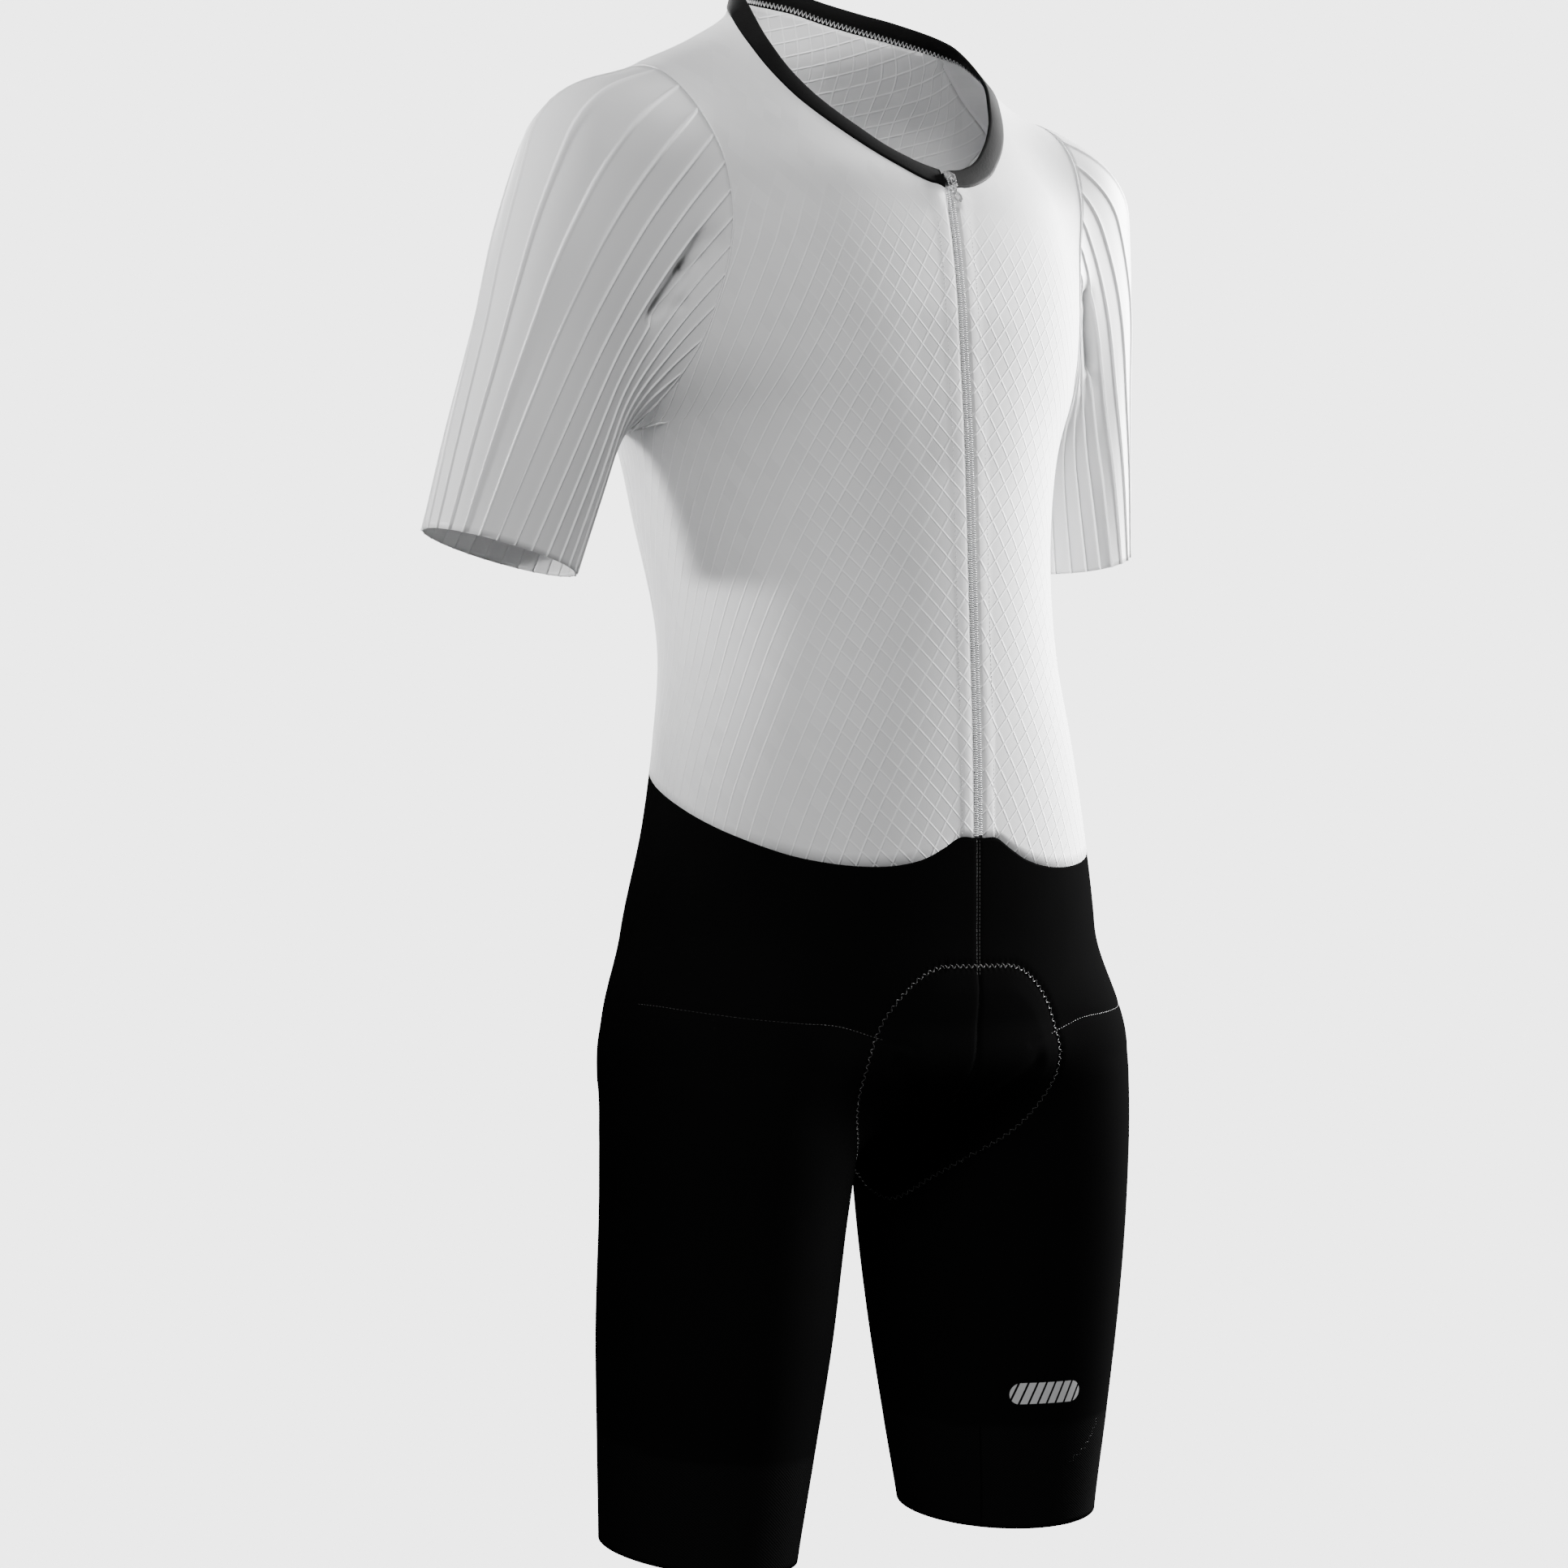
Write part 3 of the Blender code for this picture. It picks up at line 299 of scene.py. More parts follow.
def bell(p, fold):
    """How deep a fold is: a bell curve across it, fading past its two ends."""
    start, run = fold[:3], fold[3:6] - fold[:3]
    t = np.clip((p - start) @ run / (run @ run), 0, 1)
    away = np.linalg.norm(p - start - t[:, None] * run, axis=1)
    return fold[7] * np.exp(-(away / fold[6])**2)


def fold_depth(p):
    mirrored = np.column_stack([-np.abs(p[:, 0]), p[:, 1], p[:, 2]])
    return sum(bell(mirrored, fold) for fold in FOLDS)


def form(p):
    """Distance outside the worn form: trunk, two sleeves and two legs filleted into one, less the folds."""
    mirrored = np.column_stack([np.abs(p[:, 0]), p[:, 1], p[:, 2]])
    d = trunk_distance(mirrored)
    for side in (-1, 1):
        d = blend(d, tube_distance(p, SLEEVE_LINE[side], sleeve_at), SHOULDER_BLEND)
    d = blend(d, tube_distance(mirrored, LEG_LINE, leg_at), CROTCH_BLEND)
    return d + fold_depth(p)


def unit(v):
    """Vectors of length one, along the last axis."""
    return v / np.linalg.norm(v, axis=-1, keepdims=True)


def slope(p):
    """The form's gradient, by small steps along each axis."""
    step = 0.0008
    moved = np.concatenate([p + step * e for e in (*np.eye(3), *-np.eye(3))])
    values = form(moved).reshape(2, 3, -1)
    return ((values[0] - values[1]) / (2 * step)).T


def outward(p):
    """Unit normals of the form at points of any shape of array."""
    return unit(slope(p.reshape(-1, 3))).reshape(p.shape)


def press(p, rounds=14):
    """Points moved straight onto the form by steps down its gradient."""
    flat = p.reshape(-1, 3)
    for _ in range(rounds):
        g = slope(flat)
        move = form(flat) / np.maximum((g**2).sum(axis=1), 0.05)
        flat = flat - np.clip(move, -0.02, 0.02)[:, None] * g
    return flat.reshape(p.shape)


def leave(start, heading, rounds=60):
    """Where rays from inside the form come out of it."""
    heading = unit(heading)
    p = start + 0.002 * heading
    for _ in range(rounds):
        p = p - 0.7 * np.clip(form(p), -0.03, 0.03)[:, None] * heading
    return p


def between(a, b, count):
    """A line of points on the form from one point to another."""
    t = np.linspace(0, 1, count + 1)[:, None]
    line = a + t * (b - a)
    for _ in range(6):
        line[1:-1] = press(line[1:-1])
        line[1:-1] = (line[:-2] + line[2:]) / 2
    line[1:-1] = press(line[1:-1])
    return line


def round_body(angles, height_at):
    """Points at these angles round the body, at the heights of a seam there."""
    angles = np.asarray(angles, float)
    turn = np.radians(angles)
    start = np.column_stack([0 * turn, 0 * turn + AXIS_Y, height_at(np.abs(angles))[:, 0]])
    return leave(start, np.column_stack([np.sin(turn), -np.cos(turn), 0 * turn]))


def zip_edge(heights, x):
    """Points of the front at this distance from the centre, by height."""
    start = np.column_stack([0 * heights + x, 0 * heights, heights])
    return leave(start, np.tile((0.0, -1.0, 0.0), (len(heights), 1)))


def armhole(side):
    """The seam round a sleeve's top: a point for each rib, from the underarm forward and over the top."""
    turn = np.radians(360 / RIBS) * np.arange(RIBS)
    x, y, z = ARMHOLE_CENTRE
    across = side * (x + ARMHOLE_UNDER * np.cos(turn) + ARMHOLE_SCOOP * np.cos(2 * turn))
    start = np.column_stack([across, 0 * turn + y, 0 * turn + z])
    return leave(start, np.column_stack([0 * turn, -np.sin(turn), -np.cos(turn)]))


def across_front(side, steps, seam):
    """A front's end of the neckline or the waist seam, from the edge of the zip round by these angles."""
    points = round_body(side * np.array([0, *steps]), smooth(seam))
    points[0] = zip_edge(seam[:1, 1], side * ZIP_EDGE)[0]
    return points


def across_back(corner, pieces, seam):
    """The back's stretch of the neckline or the waist seam, from one corner round to the other."""
    turn = np.linspace(-corner, corner - 360, pieces + 1)
    return round_body((turn + 180) % 360 - 180, smooth(seam))


def shoulder_seam(side):
    corner = across_front(side, NECK_STEPS, NECKLINE)[-1]
    return between(corner, armhole(side)[SHOULDER_STEP], len(WAIST_STEPS))


def side_seam(side):
    return between(across_front(side, WAIST_STEPS, WAIST)[-1], armhole(side)[SIDE_STEP], LOWER_ROWS)


def relax(grid, joined, rounds=30):
    """Each inner point moves to the middle of its four neighbours and back onto the form."""
    for _ in range(rounds):
        if joined:
            inner = (grid[:-2] + grid[2:] + np.roll(grid, 1, 1)[1:-1] + np.roll(grid, -1, 1)[1:-1]) / 4
            grid[1:-1] = press(inner, 2)
        else:
            inner = (grid[:-2, 1:-1] + grid[2:, 1:-1] + grid[1:-1, :-2] + grid[1:-1, 2:]) / 4
            grid[1:-1, 1:-1] = press(inner, 2)
    return grid


def patch(bottom, top, left, right):
    """A Coons patch, pressed onto the form: the two ruled surfaces between opposite edges, added, less the
    bilinear one through the corners."""
    v = np.linspace(0, 1, len(left))[:, None, None]
    u = np.linspace(0, 1, len(bottom))[None, :, None]
    grid = ((1 - v) * bottom[None] + v * top[None] + (1 - u) * left[:, None] + u * right[:, None]
            - (1 - u) * (1 - v) * bottom[0] - u * (1 - v) * bottom[-1]
            - (1 - u) * v * top[0] - u * v * top[-1])
    grid[1:-1, 1:-1] = press(grid[1:-1, 1:-1])
    return relax(grid, False)


def refine(grid, rows_at, columns_at, joined=False):
    """The same surface at other rows and columns, given as fractions of its own, pressed onto the form."""
    if joined:
        grid = np.concatenate([grid[:, -2:], grid, grid[:, :3]], axis=1)
        columns_at = columns_at + 2
    flat = np.column_stack([np.arange(len(grid)), grid.reshape(len(grid), -1)])
    tall = smooth(flat)(rows_at).reshape(len(rows_at), -1, 3).transpose(1, 0, 2)
    flat = np.column_stack([np.arange(len(tall)), tall.reshape(len(tall), -1)])
    wide = smooth(flat)(columns_at).reshape(len(columns_at), -1, 3).transpose(1, 0, 2)
    return press(wide, 3)


def every(steps, parts):
    """Fractions that cut each of a number of steps into equal parts."""
    return np.arange(steps * parts + 1) / parts


def run_along(line):
    """The distance from a line's first point to each of its points."""
    return np.concatenate([[0], np.cumsum(np.linalg.norm(np.diff(line, axis=0), axis=1))])


def ease(x, low, high):
    """0 below low and 1 above high, with a smooth S between."""
    t = np.clip((x - low) / (high - low), 0, 1)
    return t * t * (3 - 2 * t)


def mesh_piece(name, points, faces, material, body="suit"):
    """A smooth-shaded mesh at the origin that rides with a body of the suit."""
    mesh = bpy.data.meshes.new(name)
    faces = np.asarray(faces)
    mesh.vertices.add(len(points))
    mesh.vertices.foreach_set("co", points.astype(np.float32).ravel())
    mesh.loops.add(faces.size)
    mesh.loops.foreach_set("vertex_index", faces.astype(np.int32).ravel())
    mesh.polygons.add(len(faces))
    mesh.polygons.foreach_set("loop_start", np.arange(len(faces), dtype=np.int32) * faces.shape[1])
    mesh.update(calc_edges=True)
    mesh.shade_smooth()
    mesh.materials.append(material)
    thing = bpy.data.objects.new(name, mesh)
    bpy.context.scene.collection.objects.link(thing)
    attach(thing, body)
    return thing


def grid_faces(rows, columns, joined=False):
    """Four-sided faces over a grid, whose columns join up at their ends if joined."""
    i, j = np.meshgrid(np.arange(rows - 1), np.arange(columns if joined else columns - 1), indexing="ij")
    k = (j + 1) % columns
    return np.stack([i * columns + j, (i + 1) * columns + j, (i + 1) * columns + k, i * columns + k],
                    -1).reshape(-1, 4)


def across_faces(points, faces):
    """A vector square to each face, twice as long as its area."""
    corner = [points[faces[:, k]] for k in range(faces.shape[1])]
    if len(corner) == 3:
        return np.cross(corner[1] - corner[0], corner[2] - corner[0])
    return np.cross(corner[2] - corner[0], corner[3] - corner[1])


def in_triangles(quads):
    return np.concatenate([quads[:, [0, 1, 2]], quads[:, [0, 2, 3]]])


DEEPEST = CREASES[:, 8].max()
for crease in CREASES:
    crease[1:7] = press(crease[1:7].reshape(2, 3)).ravel()


def cloth_piece(name, grids, material, lift=0.0, fields=(), thickness=CLOTH):
    """A thin shell of cloth over grids of points on the form, as (points, joined), sunk at the creases.
    Points that two grids share become one. Lift is how far each point stands out, and fields are numbers
    that the material reads."""
    points, faces, start = [], [], 0
    for grid, joined in grids:
        faces.append(grid_faces(*grid.shape[:2], joined) + start)
        points.append(grid.reshape(-1, 3))
        start += len(points[-1])
    points = np.concatenate(points)
    _, first, index = np.unique(np.round(points, 7), axis=0, return_index=True, return_inverse=True)
    points, faces = points[first], index.reshape(-1)[np.concatenate(faces)]
    out = outward(points)
    if (across_faces(points, faces) * out[faces[:, 0]]).sum() < 0:
        faces = faces[:, ::-1]
    lift = np.broadcast_to(np.asarray(lift, float).ravel()[first] if np.ndim(lift) else lift, len(points))
    sunk = sum(bell(points, crease[1:]) for crease in CREASES)
    lift = lift - sunk
    thing = mesh_piece(name, points + out * lift[:, None], faces, material)
    for field, values in dict(fields).items():
        kept = thing.data.attributes.new(field, "FLOAT", "POINT")
        kept.data.foreach_set("value", np.asarray(values, np.float32).ravel()[first])
    # how deep each point lies in a crease; the white materials darken the cloth by it as painted shade
    kept = thing.data.attributes.new("sunk", "FLOAT", "POINT")
    kept.data.foreach_set("value", (sunk / DEEPEST).astype(np.float32))
    shell = thing.modifiers.new("thickness", "SOLIDIFY")
    shell.thickness = thickness
    shell.offset = -1
    return thing


def cut_cloth(thing, width, length):
    """Works out the area vectors of a piece's faces, which are not kept; the width and length of its cloth are
    not used.
    """
    count = len(thing.data.vertices)
    points = np.empty(count * 3)
    thing.data.vertices.foreach_get("co", points)
    faces = np.empty(len(thing.data.loops), int)
    thing.data.loops.foreach_get("vertex_index", faces)
    square = across_faces(points.reshape(-1, 3), faces.reshape(-1, 4))


class Value:
    """A value inside a material. Arithmetic on it adds Math nodes, and node adds any other node."""

    def __init__(self, tree, socket=None):
        self.tree, self.socket = tree, socket

    def node(self, kind, settings=None, inputs=None, output=0):
        """Adds a node: its settings first, then its sockets' values or links. Gives one of its outputs."""
        made = self.tree.nodes.new("ShaderNode" + kind)
        for key, value in (settings or {}).items():
            setattr(made, key, value)
        for key, value in (inputs or {}).items():
            if isinstance(value, Value):
                self.tree.links.new(value.socket, made.inputs[key])
            else:
                made.inputs[key].default_value = value
        return Value(self.tree, made.outputs[output])

    def math(self, operation, *others):
        return self.node("Math", {"operation": operation}, dict(enumerate((self, *others))))

    def __add__(self, other):
        return self.math("ADD", other)

    def __sub__(self, other):
        return self.math("SUBTRACT", other)

    def __mul__(self, other):
        return self.math("MULTIPLY", other)

    def __rsub__(self, other):
        return (self * -1) + other

    __radd__, __rmul__ = __add__, __mul__

    def between(self, low, high):
        """0 at low and 1 at high, held to that range."""
        return self.node("MapRange", {"clamp": True}, {"Value": self, "From Min": low, "From Max": high})

    def tint(self, from_colour, to_colour):
        """One colour where this is 0 and another where it is 1."""
        ends = {"Factor": self, 6: from_colour, 7: to_colour}
        return self.node("Mix", {"data_type": "RGBA"}, ends, output=2)

    def field(self, name):
        return self.node("Attribute", {"attribute_name": name}, output=2)

    def noise(self, scale, detail=3.0, roughness=0.55):
        place = self.node("TexCoord", output=3)
        return self.node("TexNoise", {}, {"Vector": place, "Scale": scale, "Detail": detail,
                                          "Roughness": roughness})


def finish(name, roughness, specular=0.3, sheen=0.0, sheen_roughness=0.4, metallic=0.0):
    """A new material with its fixed sockets set. Gives the material, its shader and a Value to build with."""
    material = bpy.data.materials.new(name)
    material.use_nodes = True
    shader = material.node_tree.nodes["Principled BSDF"]
    for key, value in (("Roughness", roughness), ("Specular IOR Level", specular), ("Sheen Weight", sheen),
                       ("Sheen Roughness", sheen_roughness), ("Metallic", metallic)):
        shader.inputs[key].default_value = value
    return material, shader, Value(material.node_tree)


def connect(value, shader, socket):
    value.tree.links.new(value.socket, shader.inputs[socket])


def emboss(height, shader, depth):
    """Relief of this depth, in metres, on a shader's normal."""
    bump = height.node("Bump", {}, {"Height": height, "Strength": 1.0, "Distance": depth})
    connect(bump, shader, "Normal")


def grey(value):
    return (value, value, value * 1.008, 1.0)


def grained(name, roughness, tones, clouds, grain=None, **how):
    """A plain material whose tone wanders between two greys in clouds of this scale. The grain is the scale,
    the detail and the depth of a fine relief."""
    material, shader, start = finish(name, roughness, **how)
    connect(start.noise(clouds).tint(grey(tones[0]), grey(tones[1])), shader, "Base Color")
    if grain:
        scale, detail, depth = grain
        emboss(start.noise(scale, detail=detail), shader, depth)
    return material


WHITE = (1, 1, 1.006, 1)
BLACK = (0, 0, 0, 1)
KNIT_TONE = 0.76
GRID_LIGHT = 0.200                  # how much lighter the raised lines are
CELL_TONE = 0.045                   # how much one cell of the grid differs from the next
BEHIND_TONE = 0.13                  # how much darker what lies behind the knit makes it
# painted shade: how much darker the knit is made at the bottom of a crease
CREASE_PAINTED_SHADE = 0.20
GRID_HALF = 0.050                   # half a line's width, as a share of the spacing
GRID_DEPTH = 0.00030
LOOP_SCALE = 1700.0                 # knit loops a metre


def white_knit():
    """White sheer knit. Two fields count the slanting lines, and each line shows where its count is whole."""
    material, shader, start = finish("white_grid_knit", 0.62, specular=0.28, sheen=0.25)
    lines = []
    for name in ("a", "b"):
        off = start.field("lines_" + name).math("PINGPONG", 0.5)
        lines.append((1 - off.between(GRID_HALF * 0.45, GRID_HALF * 1.7)) * start.field("strength_" + name))
    line = lines[0].math("MAXIMUM", lines[1])
    cell = start.field("lines_a").math("FLOOR") * 17.3 + start.field("lines_b").math("FLOOR") * 7.1
    tone = start.node("TexWhiteNoise", {"noise_dimensions": "1D"}, {"W": cell})
    cloudy = start.noise(9.0)
    # the knit's tone, less painted shade where the cloth sinks into a crease
    light = (KNIT_TONE + line * GRID_LIGHT + (tone - 0.5) * CELL_TONE + (cloudy - 0.5) * 0.06
             - start.field("behind") * BEHIND_TONE + start.field("welt") * 0.05
             - start.field("sunk") * CREASE_PAINTED_SHADE)
    connect(light.tint(BLACK, WHITE), shader, "Base Color")
    loops = start.noise(LOOP_SCALE, detail=1.0)
    emboss(line + loops * 0.10, shader, GRID_DEPTH)
    return material


WHITE_KNIT = white_knit()
ZIP_COLUMNS = np.array([0, 0.03, 0.07, 0.12, 0.3, 0.5, 0.64, 0.70, 0.76, 0.83, 0.91])
WELT = (0.0040, 0.0052, 0.0118, 0.0132)   # the topstitched edge rises and falls at these distances
WELT_HEIGHT = 0.0005
# the two families of lines on a front: slant from level, spacing across, how much they steepen to the side
GRID_LINES = {"a": (radians(-41), 0.0090, 0.6), "b": (radians(54), 0.0118, 1.9)}
BEHIND = (-0.034, 0.044, -0.281, -0.189)  # left, right, bottom, top of the soft grey oblong on the chest
BEHIND_SOFT = 0.0070                # half the width of its edge
FRONT_CUT = (0.30, 0.52)


def front_grid(side):
    """A front's coarse grid: its lower half up to the chest line, then its upper half to the shoulder."""
    neck = across_front(side, NECK_STEPS, NECKLINE)
    waist = across_front(side, WAIST_STEPS, WAIST)
    hole = np.roll(armhole(side), -SIDE_STEP, axis=0)[:SHOULDER_STEP - SIDE_STEP + 1]
    low = zip_edge(np.linspace(WAIST[0, 1], CHEST, LOWER_ROWS + 1), side * ZIP_EDGE)
    high = zip_edge(np.linspace(CHEST, NECKLINE[0, 1], ZIP_ROWS + 1), side * ZIP_EDGE)
    chest = between(low[-1], hole[0], len(WAIST_STEPS))
    lower = patch(waist, chest, low, side_seam(side))
    upper = patch(chest, shoulder_seam(side), np.concatenate([high[:-1], neck]), hole)
    return np.concatenate([lower, upper[1:]])


front_coarse = {side: front_grid(side) for side in (-1, 1)}
for side, word in ((-1, "right"), (1, "left")):
    coarse = front_coarse[side]
    columns = np.concatenate([ZIP_COLUMNS, 1 + every(len(WAIST_STEPS) - 1, 6)])
    grid = refine(coarse, every(len(coarse) - 1, 6), columns)
    w = np.abs(grid[:, :1, 0]) + np.array([run_along(row) for row in grid])    # distance from the zip
    x, z = grid[..., 0], grid[..., 2]
    fields = {}
    for family, (slant, spacing, steepen) in GRID_LINES.items():
        fields["lines_" + family] = (np.sin(slant) * w * (1 + steepen * w) + np.cos(slant) * z) / spacing
    fade = 1 - ease(z, -0.185, -0.115)
    fields["strength_a"] = fade * (1 - ease(w, 0.070, 0.125))
    fields["strength_b"] = fade * (0.6 + 0.4 * ease(w, 0.02, 0.10))
    left, right, bottom, top = BEHIND
    inside = [ease(way * at, way * edge - BEHIND_SOFT, way * edge + BEHIND_SOFT)
              for way, at, edge in ((1, x, left), (-1, x, right), (1, z, bottom), (-1, z, top))]
    fields["behind"] = np.prod(inside, axis=0)
    welt = ease(np.abs(x), *WELT[:2]) * (1 - ease(np.abs(x), *WELT[2:])) * (z < NECKLINE[0, 1] + 0.002)
    fields["welt"] = welt
    front = cloth_piece("front_cloth_" + word, [(grid, False)], WHITE_KNIT, WELT_HEIGHT * welt, fields)
    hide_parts("front_" + word)
    cut_cloth(front, *FRONT_CUT)


# The back
# The same knit with a finer, squarer grid, cut in one piece between the side seams. Its upper corners give
# way to the fronts, which come over the shoulders.
BACK_SPACING = 0.0085
BACK_SLANT = 0.25                   # how far its lines lean
BACK_CUT = (0.42, 0.46)


def back_grid():
    """The back's coarse grid: waist to the line between the underarms, then up to the shoulder seams."""
    neck = across_back(CORNER_ANGLE, BACK_NECK_PIECES, NECKLINE)
    top = np.concatenate([shoulder_seam(-1)[::-1], neck[1:-1], shoulder_seam(1)])
    hole = {side: np.roll(armhole(side), -SHOULDER_STEP, axis=0)[:RIBS - SHOULDER_STEP + SIDE_STEP + 1][::-1]
            for side in (-1, 1)}
    waist = across_back(SIDE_ANGLE, len(top) - 1, WAIST)
    chest = between(hole[-1][0], hole[1][0], len(top) - 1)
    lower = patch(waist, chest, side_seam(-1), side_seam(1))
    upper = patch(chest, top, hole[-1], hole[1])
    return np.concatenate([lower, upper[1:]])


coarse = back_grid()
grid = refine(coarse, every(len(coarse) - 1, 8), every(coarse.shape[1] - 1, 4))
z = grid[..., 2]
across = np.array([run_along(row) for row in grid])
across -= across[:, across.shape[1] // 2][:, None]
side_fade = 1 - ease(np.abs(across), 0.10, 0.16)
fields = {"lines_a": (across + BACK_SLANT * z) / BACK_SPACING,
          "lines_b": (z - BACK_SLANT * np.abs(across)) / BACK_SPACING,
          "strength_a": side_fade, "strength_b": 0.4 + 0.6 * side_fade, "behind": 0 * z, "welt": 0 * z}
back = cloth_piece("back_cloth", [(grid, False)], WHITE_KNIT, 0.0, fields)
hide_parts("back")
cut_cloth(back, *BACK_CUT)


# The sleeves
# White woven stretch cloth with narrow raised ribs, one tube each, cut straight at the hem and bonded there
# with no stitching. The ribs fan out from the underarm and over the shoulder.
SLEEVE_ROWS = 9
SLEEVE_PARTS = 7                    # how finely each coarse row is cut
SLEEVE_CUT = (0.36, 0.31)
RIB_TONE = 0.22
RIB_CLOTH_TONE = 0.73
# painted shade: how much darker the ribbed cloth is made at the bottom of a crease
RIB_CLOTH_PAINTED_CREASE_SHADE = 0.26
RIB_SHARES = np.array([0, 0.03, 0.06, 0.085, 0.115, 0.25, 0.5, 0.75, 0.885, 0.915, 0.94, 0.97])
RIB_HALF = 0.10                     # half a rib's foot, as a share of the spacing
RIB_HEIGHT = 0.0011


def sleeve_grid(side):
    """A sleeve's coarse grid: a ring at the armhole seam, a ring square to its line at the hem, and rings
    between, with a column at each rib."""
    line = SLEEVE_LINE[side]
    end = np.array(line["hem"])
    along = unit(end - np.array(line["top"]))
    ahead = np.array((0.0, -1.0, 0.0))
    ahead = unit(ahead - (ahead @ along) * along)
    inside = np.cross(along, ahead) * side
    turn = np.radians(360 / RIBS) * np.arange(RIBS)[:, None]
    hem = leave(end, np.cos(turn) * inside + np.sin(turn) * ahead)
    t = np.linspace(0, 1, SLEEVE_ROWS + 1)[:, None, None]
    grid = armhole(side)[None] * (1 - t) + hem[None] * t
    grid[1:-1] = press(grid[1:-1])
    return relax(grid, True)


def ribbed_cloth():
    """White cloth with a plain fine weave; the ribs' crests are a little lighter."""
    material, shader, start = finish("white_rib_cloth", 0.48, specular=0.35, sheen=0.25)
    rib = start.field("rib")
    cloudy = start.noise(12.0)
    # painted shade darkens the cloth in the creases, by their depth
    light = RIB_CLOTH_TONE + rib * RIB_TONE + (cloudy - 0.5) * 0.05 - start.field("sunk") * RIB_CLOTH_PAINTED_CREASE_SHADE
    connect(light.tint(BLACK, WHITE), shader, "Base Color")
    emboss(start.noise(LOOP_SCALE, detail=1.0), shader, 0.00004)
    return material


RIB_CLOTH = ribbed_cloth()
for side, word in ((-1, "right"), (1, "left")):
    columns = (np.arange(RIBS)[:, None] + RIB_SHARES).ravel()
    grid = refine(sleeve_grid(side), every(SLEEVE_ROWS, SLEEVE_PARTS), columns, joined=True)
    away = np.abs((columns + 0.5) % 1 - 0.5) / RIB_HALF
    crest = np.where(away < 1, np.cos(np.clip(away, 0, 1) * np.pi / 2)**2, 0)
    start_of_rib = ease(np.arange(len(grid)) / SLEEVE_PARTS, -0.10, 0.25)
    rib = start_of_rib[:, None] * crest[None]
    sleeve = cloth_piece("sleeve_cloth_" + word, [(grid, True)], RIB_CLOTH, RIB_HEIGHT * rib, {"rib": rib})
    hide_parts("sleeve_" + word)
    cut_cloth(sleeve, *SLEEVE_CUT)


# The collar
# A folded band of black elastic, 12.5 mm wide, sewn round the neckline and open at the zip. It is left a
# little proud of the knit, with soft rounded edges and its ends cut square.
COLLAR_WIDTH = 0.0125
# share of the width from the seam up, how far out from the form
COLLAR_SECTION = np.array([(0.00, 0.0001), (0.015, 0.0006), (0.05, 0.0009), (0.14, 0.0011), (0.5, 0.0012),
                           (0.86, 0.0011), (0.95, 0.0009), (0.985, 0.0006), (1.00, 0.0001), (0.985, -0.0006),
                           (0.95, -0.0010), (0.5, -0.0012), (0.05, -0.0010), (0.015, -0.0006)])


def walk(p, heading, distance, steps):
    """Rows of points on the form, each a step further from p along the heading."""
    rows = [p]
    for _ in range(steps):
        n = outward(p)
        level = unit(heading - (heading * n).sum(axis=1)[:, None] * n)
        p = press(p + level * (distance / steps)[:, None], 6)
        rows.append(p)
    return np.array(rows)


def neck_rows():
    """The collar's coarse rows of points, from the neckline up; its two ends run up beside the zip."""
    right, left = (across_front(side, NECK_STEPS, NECKLINE) for side in (-1, 1))
    back_line = across_back(CORNER_ANGLE, BACK_NECK_PIECES, NECKLINE)
    lower = np.concatenate([right, back_line[1:-1], left[::-1]])
    heading = np.cross(np.gradient(lower, axis=0), outward(lower))
    heading[[0, -1], 0] = 0
    heading *= np.sign(heading[:, 2].sum())
    return walk(lower, heading, np.full(len(lower), COLLAR_WIDTH), 2)


def closed_band(name, grid, material, middles):
    """A band whose section is a closed loop, carried along a path and capped at its two ends. Grid is
    [along, round, xyz], and middles are the points of the path inside it."""
    rows, columns = grid.shape[:2]
    points = np.concatenate([grid.reshape(-1, 3), middles[[0, -1]]])
    j = np.arange(columns)
    first = np.column_stack([j, (j + 1) % columns, np.full(columns, rows * columns)])
    last = np.column_stack([(j + 1) % columns, j, np.full(columns, rows * columns + 1)])
    last[:, :2] += (rows - 1) * columns
    triangles = in_triangles(grid_faces(rows, columns, joined=True))
    away = points[triangles[:, 0]] - middles[triangles[:, 0] // columns]
    if (across_faces(points, triangles) * away).sum() < 0:
        triangles = triangles[:, ::-1]
        first, last = first[:, ::-1], last[:, ::-1]
    return mesh_piece(name, points, np.concatenate([triangles, first[:, ::-1], last[:, ::-1]]), material)


# black elastic with a fine grain
BLACK_BINDING = grained("black_binding", 0.65, (0.004, 0.007), 60.0, (900.0, 2.0, 0.00012), specular=0.03)
coarse = neck_rows().transpose(1, 0, 2)
along = every(len(coarse) - 1, 8)
grid = refine(coarse, along, 2 * COLLAR_SECTION[:, 0])
grid = grid + outward(grid) * COLLAR_SECTION[None, :, 1:]
collar = closed_band("collar_band", grid, BLACK_BINDING, refine(coarse, along, np.array([1.0]))[:, 0])
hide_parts("collar")


# The shorts
# Dense black knit, cut as a left and a right half that meet at the centre front and back, each with its
# leg. The knit is close and matt, and the last 62 mm of each leg is a gripper band.
FORK = (0.0, -0.002, -0.585)
FORK_FRONT = 32                     # degrees round the fork, from straight ahead, where the inside leg begins
FORK_BACK = 150
LEG_HEM = -0.889
HEM_RISE_BACK = 0.139
HEM_RISE_OUT = 0.056
HEM_EVENED = 0.5
HIP_ROWS = 7
LEG_ROWS = 10
INNER_PIECES = 9
GRIPPER = 0.062
